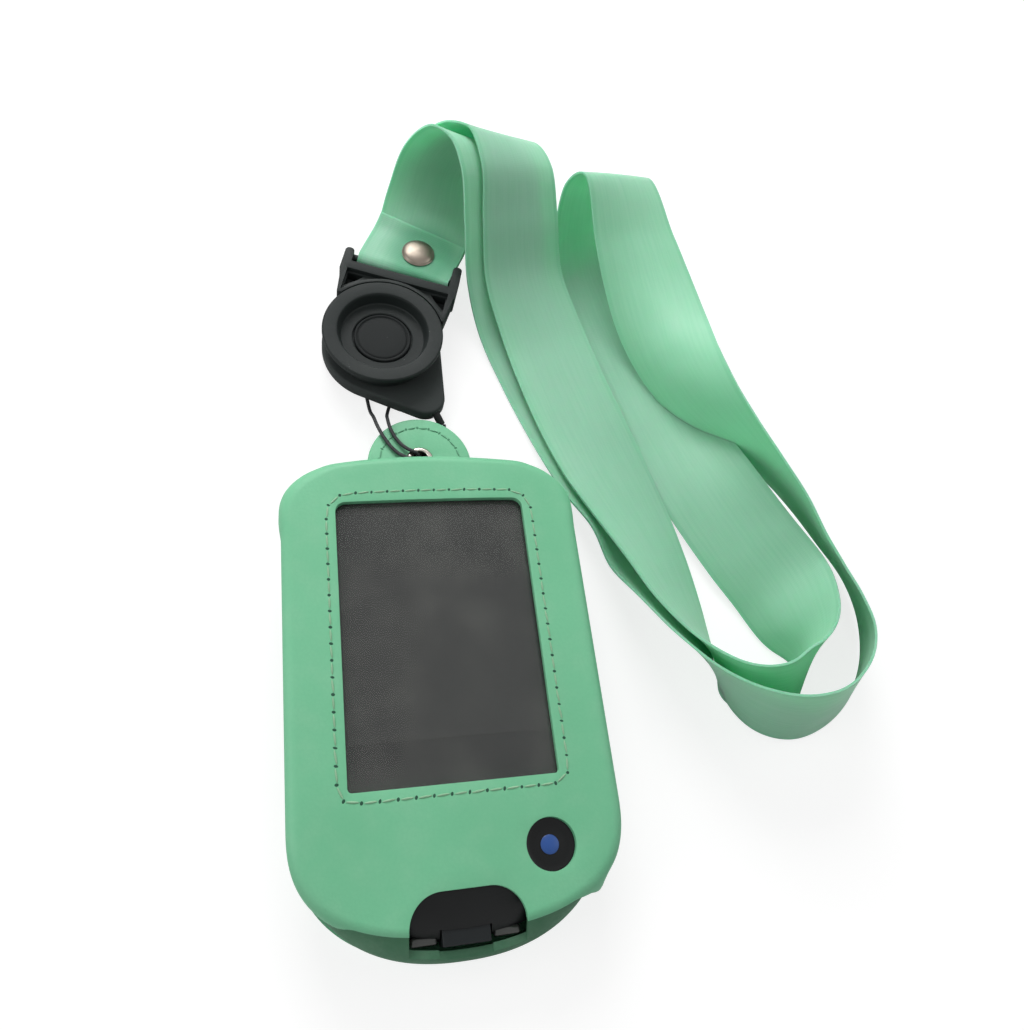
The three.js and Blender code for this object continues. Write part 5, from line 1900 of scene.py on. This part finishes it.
@dataclass
class Case:
    """The sewn leather case."""

    palette: Palette
    sizes: CaseSizes = field(default_factory=CaseSizes)

    def skirt_foot(self, p: Vector) -> float:
        """How low the front panel reaches.

        Args:
            p: A point of its outline.

        Returns:
            The height of its skirt's edge there.
        """
        s = self.sizes
        low = s.skirt
        low += (s.mouth_low - s.skirt) * step_between(s.wall_end, s.wall_end + 6, p.y)
        low += (s.lip_low - s.skirt) * step_between(*s.lip_rise, p.y)
        if p.y > s.mouth - s.corner:
            low += s.mouth_dip * step_between(s.half_width, s.half_width - s.corner, abs(p.x))
        return low

    def front_moves(self, p: Vector) -> Vector:
        """The small dents and bulges of the front panel.

        Args:
            p: A point of it.

        Returns:
            How far the point moves.
        """
        s = self.sizes
        at_mouth = step_between(s.wall_end - 1, s.wall_end + 5, p.y)
        at_mouth *= 1 - step_between(*s.flare_end, p.y)
        flare = at_mouth * step_between(*s.flare_across, abs(p.x)) * s.flares[p.x >= 0]
        low = 1 - step_between(s.skirt + 2, s.height - 1, p.z)
        (x, y), (wide, long) = s.kick_at, s.kick_size
        kick = math.exp(-(((p.x - x) / wide) ** 2) - ((p.y - y) / long) ** 2) * (0.2 + 0.8 * low)
        lift, reach, drop = s.bow
        arch = lift * max(0.0, 1 - (p.x / reach) ** 2) - drop
        bow = step_between(s.bow_start, s.mouth, p.y) * arch
        pitch, height = s.wave
        wave = noise.noise(Vector((p.x * pitch, p.y * pitch, 1.7))) * height
        rise = wave * step_between(31.5, 26, abs(p.x))
        wide = s.widening * step_between(*s.flare_across, p.x)
        wide *= step_between(s.mouth, s.bow_start, p.y)
        out = math.copysign(flare, p.x) * (0.4 + 0.6 * low)
        return Vector((out + kick * 0.6 + wide, bow - kick, rise))

    def front_sheet(self, columns: int = 320, rows: int = 10) -> Workpiece:
        """The sheet of the front panel before it is thickened: flat face, shoulders and skirt.

        Args:
            columns: Steps round it.
            rows: Steps from the skirt's edge to the flat face.

        Returns:
            The piece.
        """
        s = self.sizes
        outer_loop, inner_loop = (
            Plan(
                s.half_width - inset,
                s.mouth - inset,
                s.lip + inset,
                s.foot_start,
                s.corner,
                s.power,
            ).loop(columns)
            for inset in (0, s.shoulder)
        )
        knee = s.height - s.shoulder

        def place(u: float, t: float) -> Vector:
            """The point of the sheet at two shares.

            Args:
                u: The share round it.
                t: The share up the skirt and over the shoulder.

            Returns:
                The point.
            """
            i = round(u * columns)
            outer, inner = outer_loop[i], inner_loop[i]
            foot = self.skirt_foot(outer)
            straight = max(0.0, knee - foot)
            first = math.asin(min(1.0, max(0.0, (foot - knee) / s.shoulder)))
            reach = t * (straight + s.shoulder * (math.pi / 2 - first))
            if reach < straight:
                return outer + Vector((0, 0, foot + reach))
            a = first + (reach - straight) / s.shoulder
            p = outer.lerp(inner, 1 - math.cos(a))
            return p + Vector((0, 0, knee + s.shoulder * math.sin(a)))

        work = Workpiece("front_leather")
        work.grid(columns, rows, place)
        work.weld(0.002)
        face = s.height - 0.01
        rims = [e for e in work.bm.edges if e.is_boundary]
        roof = [e for e in rims if min(v.co.z for v in e.verts) > face]
        bmesh.ops.contextual_create(work.bm, geom=roof)
        work.outward()
        return work

    def front_panel(self) -> None:
        """One moulded sheet with its openings: window, button hole and strip notch."""
        s = self.sizes
        work = self.front_sheet()
        work.through(thickening(s.panel), materials=2)
        window = Workpiece("window")
        window.prism(rounded_rectangle(*s.window, *s.window_corners), 16, 22)
        notch = Workpiece("notch")
        half, top, corner = s.notch
        outline = rounded_rectangle(-half, half, s.lip - 12, top, corner, steps=16)
        notch.prism(outline, 10, 22)
        hole = Workpiece("hole")
        x, y, radius = s.hole
        hole.rod(radius, 16, 22, x, y, 64)
        work.carve((window, notch, hole), 0.32, 3)
        work.slice(0, -30, 30, 4)
        work.slice(1, -44, 50, 4)
        work.bend(self.front_moves)
        finishes = [self.palette.panel, self.palette.cut]
        work.finished(finishes, "case", "mint_leather", ["front_panel"], 55)

    def gusset_sheet(self, columns: int = 260, rows: int = 26) -> Workpiece:
        """The sheet of the gusset before it is thickened, swollen at the foot.

        Args:
            columns: Steps round it.
            rows: Steps from the back to the front panel.

        Returns:
            The piece.
        """
        s = self.sizes
        heights = (0, 0.12, 0.35, 0.6, 0.74, 0.84, 0.92, 1)
        bulges = (0.88, 0.97, 1, 0.95, 0.72, 0.4, 0, 0)
        tucks = (0, 0, 0, 0, 0, 0, 0.18, 1)
        powers = (2.3, 2.3, 2.3, 2.3, 2.35, 2.45, 2.65, 2.65)
        gap, tuck_reach = 0.3, 1.5
        low, top = s.back, s.height - s.panel - gap
        side, tuck_y = s.half_width - s.panel - gap, s.lip + s.panel + gap * 2
        loops = []
        for k in range(rows + 1):
            h = k / rows
            tuck = max(0.0, curve_share(tucks, heights, h)) * tuck_reach
            foot = tuck_y + max(0.0, curve_share(bulges, heights, h)) * (s.belly - tuck_y) + tuck
            power = curve_share(powers, heights, h)
            plan = Plan(side - tuck, s.mouth, foot, s.foot_start, s.corner, power)
            loops.append(plan.loop(columns))

        def place(u: float, t: float) -> Vector:
            """The point of the wall at two shares.

            Args:
                u: The share round it.
                t: The share up it.

            Returns:
                The point.
            """
            up = Vector((0, 0, low + t * (top - low)))
            return loops[round(t * rows)][round(u * columns)] + up

        work = Workpiece("gusset_leather")
        work.grid(columns, rows, place)
        work.weld(0.002)
        end = (0, s.wall_end, 0)
        bmesh.ops.bisect_plane(
            work.bm, geom=work.everything(), plane_co=end, plane_no=(0, 1, 0), clear_outer=True
        )
        work.outward()
        return work

    def gusset(self) -> None:
        """The wall round both sides and the foot, open at the strip port."""
        s = self.sizes
        work = self.gusset_sheet()
        work.through(thickening(s.gusset), materials=2)
        tools = [Workpiece("notch"), Workpiece("gap")]
        for tool, low, (left, right) in zip(tools, s.port_low, s.port_across):
            tool.block((left, -80, low), (right, s.foot_start, 30))
        work.carve(tools, 0.25, 2)
        finishes = [self.palette.gusset, self.palette.cut]
        work.finished(finishes, "case", "gusset_leather", ["side_gusset"], 55)

    def tab_outline(self, bottom: float, shrink: float = 0.0, steps: int = 40) -> list[Vector]:
        """The hanging tab's outline.

        Args:
            bottom: How far down it reaches.
            shrink: How far it stays inside the tab's own edge.
            steps: Steps round its end.

        Returns:
            Its points, anticlockwise.
        """
        x, y, r = self.sizes.tab
        r -= shrink
        turns = [math.pi * i / steps for i in range(steps + 1)]
        arc = [Vector((x + r * math.cos(a), y + r * math.sin(a), 0)) for a in turns]
        return [Vector((x - r, bottom, 0)), Vector((x + r, bottom, 0)), *arc]

    def eye(self, low: float) -> Workpiece:
        """The tool that cuts the eyelet's hole.

        Args:
            low: The height that it starts from.

        Returns:
            The tool.
        """
        tool = Workpiece("eye")
        tool.rod(self.sizes.eye_radius, low, 9, *self.sizes.eye, 48)
        return tool

    def back_panel(self) -> None:
        """The flat back with the tab that bends up past the mouth."""
        s = self.sizes
        inset = 0.5
        side, top, foot = s.half_width - inset, s.mouth - inset, s.belly + inset
        rim = Plan(side, top, foot, s.foot_start, s.corner, s.back_power).loop(240)[:-1]
        work = Workpiece("back_leather")
        work.prism(rim, 0, s.back)
        tab = Workpiece("tab")
        tab.prism(self.tab_outline(44), 0, s.back)
        work.cut(tab, operation="UNION")
        work.cut(self.eye(-5))
        work.break_edges(0.35, 60, 3)
        work.slice(0, -12.4, 14, 0.6)
        work.slice(1, 48.5, 56.5, 0.5)

        def lift(p: Vector) -> Vector:
            """Bends the tab off the table.

            Args:
                p: A point of the back.

            Returns:
                How far the point moves.
            """
            x, _, r = s.tab
            beside = 1 - step_between(r, r + 0.8, abs(p.x - x))
            rise = s.tab_lift * step_between(s.mouth - 3, s.mouth + 3, p.y)
            return Vector((0, 0, rise * beside))

        work.bend(lift)
        work.finished([self.palette.back], "case", "back_leather", ["back_panel"], 55)

    def tab_facing(self) -> None:
        """The second layer sewn on the tab."""
        s = self.sizes
        work = Workpiece("tab_leather")
        low = s.tab_lift + s.back
        work.prism(self.tab_outline(55.65, 0.15), low, low + s.tab_thick)
        work.cut(self.eye(0))
        work.break_edges(0.4, 60, 3)
        work.finished([self.palette.panel], "case", "mint_leather", ["tab_facing"], 55)

    def eyelet(self) -> None:
        """The rolled steel eyelet and its washer."""
        x, y = self.sizes.eye
        work = Workpiece("steel_eyelet")
        profile = [(1.95, 1.75), (2.3, 1.75), (2.3, 4.5), (3.3, 4.5), (3.3, 4.62), (3.15, 4.86)]
        profile += [(2.85, 5.03), (2.5, 5.1), (2.2, 5.03), (2.0, 4.86), (1.95, 4.6), (1.95, 1.75)]
        work.turn(profile, x, y, 72)
        work.finished([self.palette.steel], "case", "bright_steel", ["eyelet"], 50)
        back = Workpiece("eyelet_back")
        profile = [(2.45, 1.55), (3.2, 1.55), (3.3, 1.62), (3.3, 1.9), (2.45, 1.9), (2.45, 1.55)]
        back.turn(profile, x, y, 72)
        back.finished([self.palette.steel], "case", "bright_steel", ["eyelet_washer"], 50)

    def film(self) -> None:
        """The clear sheet behind the window."""
        low, high = (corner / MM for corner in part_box("window_film"))
        work = Workpiece("film_sheet")
        work.prism(rounded_rectangle(low.x, high.x, low.y, high.y, 7.0), low.z, high.z)
        work.finished([self.palette.film], "case", "clear_film", ["window_film"])

    def build(self) -> None:
        """Builds the leather and its fittings."""
        self.front_panel()
        self.gusset()
        self.back_panel()
        self.tab_facing()
        self.eyelet()
        self.film()


@dataclass
class Sewing:
    """Rows of stitches on the leather."""

    palette: Palette
    case: Case
    stitch: tuple[float, float, float] = (0.38, 0.24, 0.19)
    needle_hole_shade: tuple[float, float, float] = (0.44, 0.32, 0.06)
    slant: float = 0.07
    window_out: float = 2.0
    window_pitch: float = 3.5
    tab_reach: float = 10.2
    tab_pitch: float = 2.9
    tab_turn: tuple[float, float] = (-8, 188)
    tab_steps: int = 60

    def row(
        self,
        name: str,
        line: Sequence[Vector],
        pitch: float,
        materials: Sequence[bpy.types.Material],
        move: Callable[[Vector], Vector] | None = None,
    ) -> None:
        """Sews one row.

        Args:
            name: The name of its two pieces.
            line: The seam, on the surface.
            pitch: How far apart the needle holes are.
            materials: The finishes of the thread and of the painted shade in the needle holes.
            move: How the surface under it is bent.
        """
        stops = even_steps(line, round(run_of(line) / pitch))
        rise = Vector((0, 0, 1))
        share, half_width, half_height = self.stitch
        long, wide, high = self.needle_hole_shade
        thread, holes = Workpiece(f"{name}_thread"), Workpiece(f"{name}_holes")
        for i, (a, b) in enumerate(zip(stops, stops[1:])):
            if move:
                a, b = a + move(a), b + move(b)
            along = (b - a).normalized()
            wander = noise.noise(Vector((i * 1.3, 0.4, 0.2)))
            lay = along + rise.cross(along) * (self.slant + 0.1 * wander)
            size = ((b - a).length * (share + 0.05 * wander), half_width, half_height)
            thread.bead(a.lerp(b, 0.5) + rise * 0.03, lay, rise, size)
            size = (long + 0.1 * wander, wide - 0.08 * wander, high)
            # a flat dark bead at each needle hole: painted shade in the hole
            holes.bead(a - rise * 0.02, rise.cross(along) + along * 0.3, rise, size, 10)
        thread.finished([materials[0]], "case", "mint_leather", (), 80)
        holes.finished([materials[1]], "case", "mint_leather", (), 80)

    def build(self) -> None:
        """Sews the window and the tab."""
        s = self.case.sizes
        x0, x1, y0, y1 = s.window
        out = self.window_out
        seam = rounded_rectangle(x0 - out, x1 + out, y0 - out, y1 + out, *s.seam_corners)
        line = [p + Vector((0, 0, s.height)) for p in (*seam, seam[0])]
        finishes = (self.palette.seam, self.palette.hole)
        self.row("window_seam", line, self.window_pitch, finishes, self.case.front_moves)
        x, y, _ = s.tab
        top, r = s.tab_lift + s.back + s.tab_thick, self.tab_reach
        first, last = self.tab_turn
        shares = [i / self.tab_steps for i in range(self.tab_steps + 1)]
        arc = [math.radians(first + (last - first) * share) for share in shares]
        line = [Vector((x + r * math.cos(a), y + r * math.sin(a), top)) for a in arc]
        finishes = (self.palette.shade_seam, self.palette.faint_hole_shade)
        self.row("tab_seam", line, self.tab_pitch, finishes)


# ---------------------------------------------------------------- meter


@dataclass
class Meter:
    """The handheld meter in the case."""

    palette: Palette
    button: tuple[float, float] = BUTTON
    top: float = 17.225
    glass_corner: float = 3.6
    ridge_across: tuple[float, float] = (5.4, 10.8)
    ridge_along: tuple[float, float] = (-48.7, -46.9)
    ridge_up: tuple[float, float] = (11.2, 12.9)

    def refined(self, node: str, width: float, material: bpy.types.Material, slot: str) -> None:
        """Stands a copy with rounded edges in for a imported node.

        Args:
            node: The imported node.
            width: How wide its edges are rounded.
            material: The finish.
            slot: The record's material slot.
        """
        work = Workpiece(f"{node}_shell")
        work.bm.from_mesh(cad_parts[node].data)
        bmesh.ops.scale(work.bm, vec=(1 / MM,) * 3, verts=work.bm.verts[:])
        work.weld(0.002)
        work.merge_flat(1)
        work.through(rounding(width, 2, 40))
        work.finished([material], "case", slot, [node], 22)

    def home_button(self) -> None:
        """The domed cap, with a raised rim, and its blue dot."""
        x, y = self.button
        top = self.top
        work = Workpiece("button_cap")
        profile = [(0, 12.65), (1.5, 12.65), (1.5, 14.4), (6.4, 14.4), (6.4, 15.2), (5.6, 15.2)]
        profile += [(5.6, top - 0.35), (5.5, top - 0.12), (5.25, top), (4.9, top - 0.02)]
        profile += [(4.5, top - 0.2), (3.6, top - 0.3), (2.2, top - 0.1), (0, top - 0.05)]
        work.turn(profile, x, y)
        work.finished([self.palette.button], "home_button", "button_black", ["home_button"], 50)
        dot = Workpiece("button_spot")
        profile = [(0, top - 0.05), (1.85, top - 0.05), (1.85, top + 0.12), (1.7, top + 0.2)]
        dot.turn([*profile, (0, top + 0.25)], x, y, 48)
        dot.finished([self.palette.dot], "home_button", "button_blue", ["button_dot"], 50)

    def glass(self) -> None:
        """The cover glass with ground edges."""
        low, high = (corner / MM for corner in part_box("display_glass"))
        work = Workpiece("cover_glass")
        outline = rounded_rectangle(low.x, high.x, low.y, high.y, self.glass_corner)
        work.prism(outline, low.z, high.z)
        work.break_edges(0.15, 60, 2)
        work.finished([self.palette.glass], "case", "display_glass", ["display_glass"], 15)

    def lower_rim(self) -> None:
        """The two glossy ridges beside the strip port, grey with a painted highlight."""
        work = Workpiece("port_ridges")
        for sign in (1, -1):
            left, right = sorted(sign * x for x in self.ridge_across)
            corners = zip((left, right), self.ridge_along, self.ridge_up)
            work.block(*corners)
        work.break_edges(0.7, 60, 4)
        work.finished([self.palette.ridge_highlight], "case", "black_housing", (), 25)

    def carried_over(self) -> None:
        """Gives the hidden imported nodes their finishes."""
        finishes = {
            "main_board": self.palette.board,
            "battery": self.palette.foil,
            "antenna_coil": self.palette.copper,
            "buzzer": self.palette.socket,
            "charging_socket": self.palette.steel,
            "button_switch": self.palette.steel,
            "display_module": self.palette.screen,
        }
        finishes |= {f"housing_screw_{i}": self.palette.steel for i in range(1, 5)}
        for name, material in finishes.items():
            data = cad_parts[name].data
            data.materials.clear()
            data.materials.append(material)
            log.info("%s: finished", name)

    def build(self) -> None:
        """Builds what shows of the meter and dresses the rest."""
        self.refined("meter_front_housing", 0.3, self.palette.housing, "black_housing")
        self.refined("meter_rear_housing", 0.3, self.palette.rear, "rear_housing")
        self.refined("strip_port_bezel", 0.25, self.palette.socket, "connector_plastic")
        self.lower_rim()
        self.home_button()
        self.glass()
        self.carried_over()


def main() -> None:
    """Builds everything in order."""
    logging.basicConfig(level=logging.INFO, format="%(name)s %(message)s")
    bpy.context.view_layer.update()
    Studio().build()
    palette = Palette()
    sizes = BuckleSizes()
    Lanyard(palette, sizes).build()
    Tether(palette, sizes).build()
    Buckle(palette, sizes).build()
    case = Case(palette)
    case.build()
    Sewing(palette, case).build()
    Meter(palette).build()


if __name__ == "__main__":
    main()
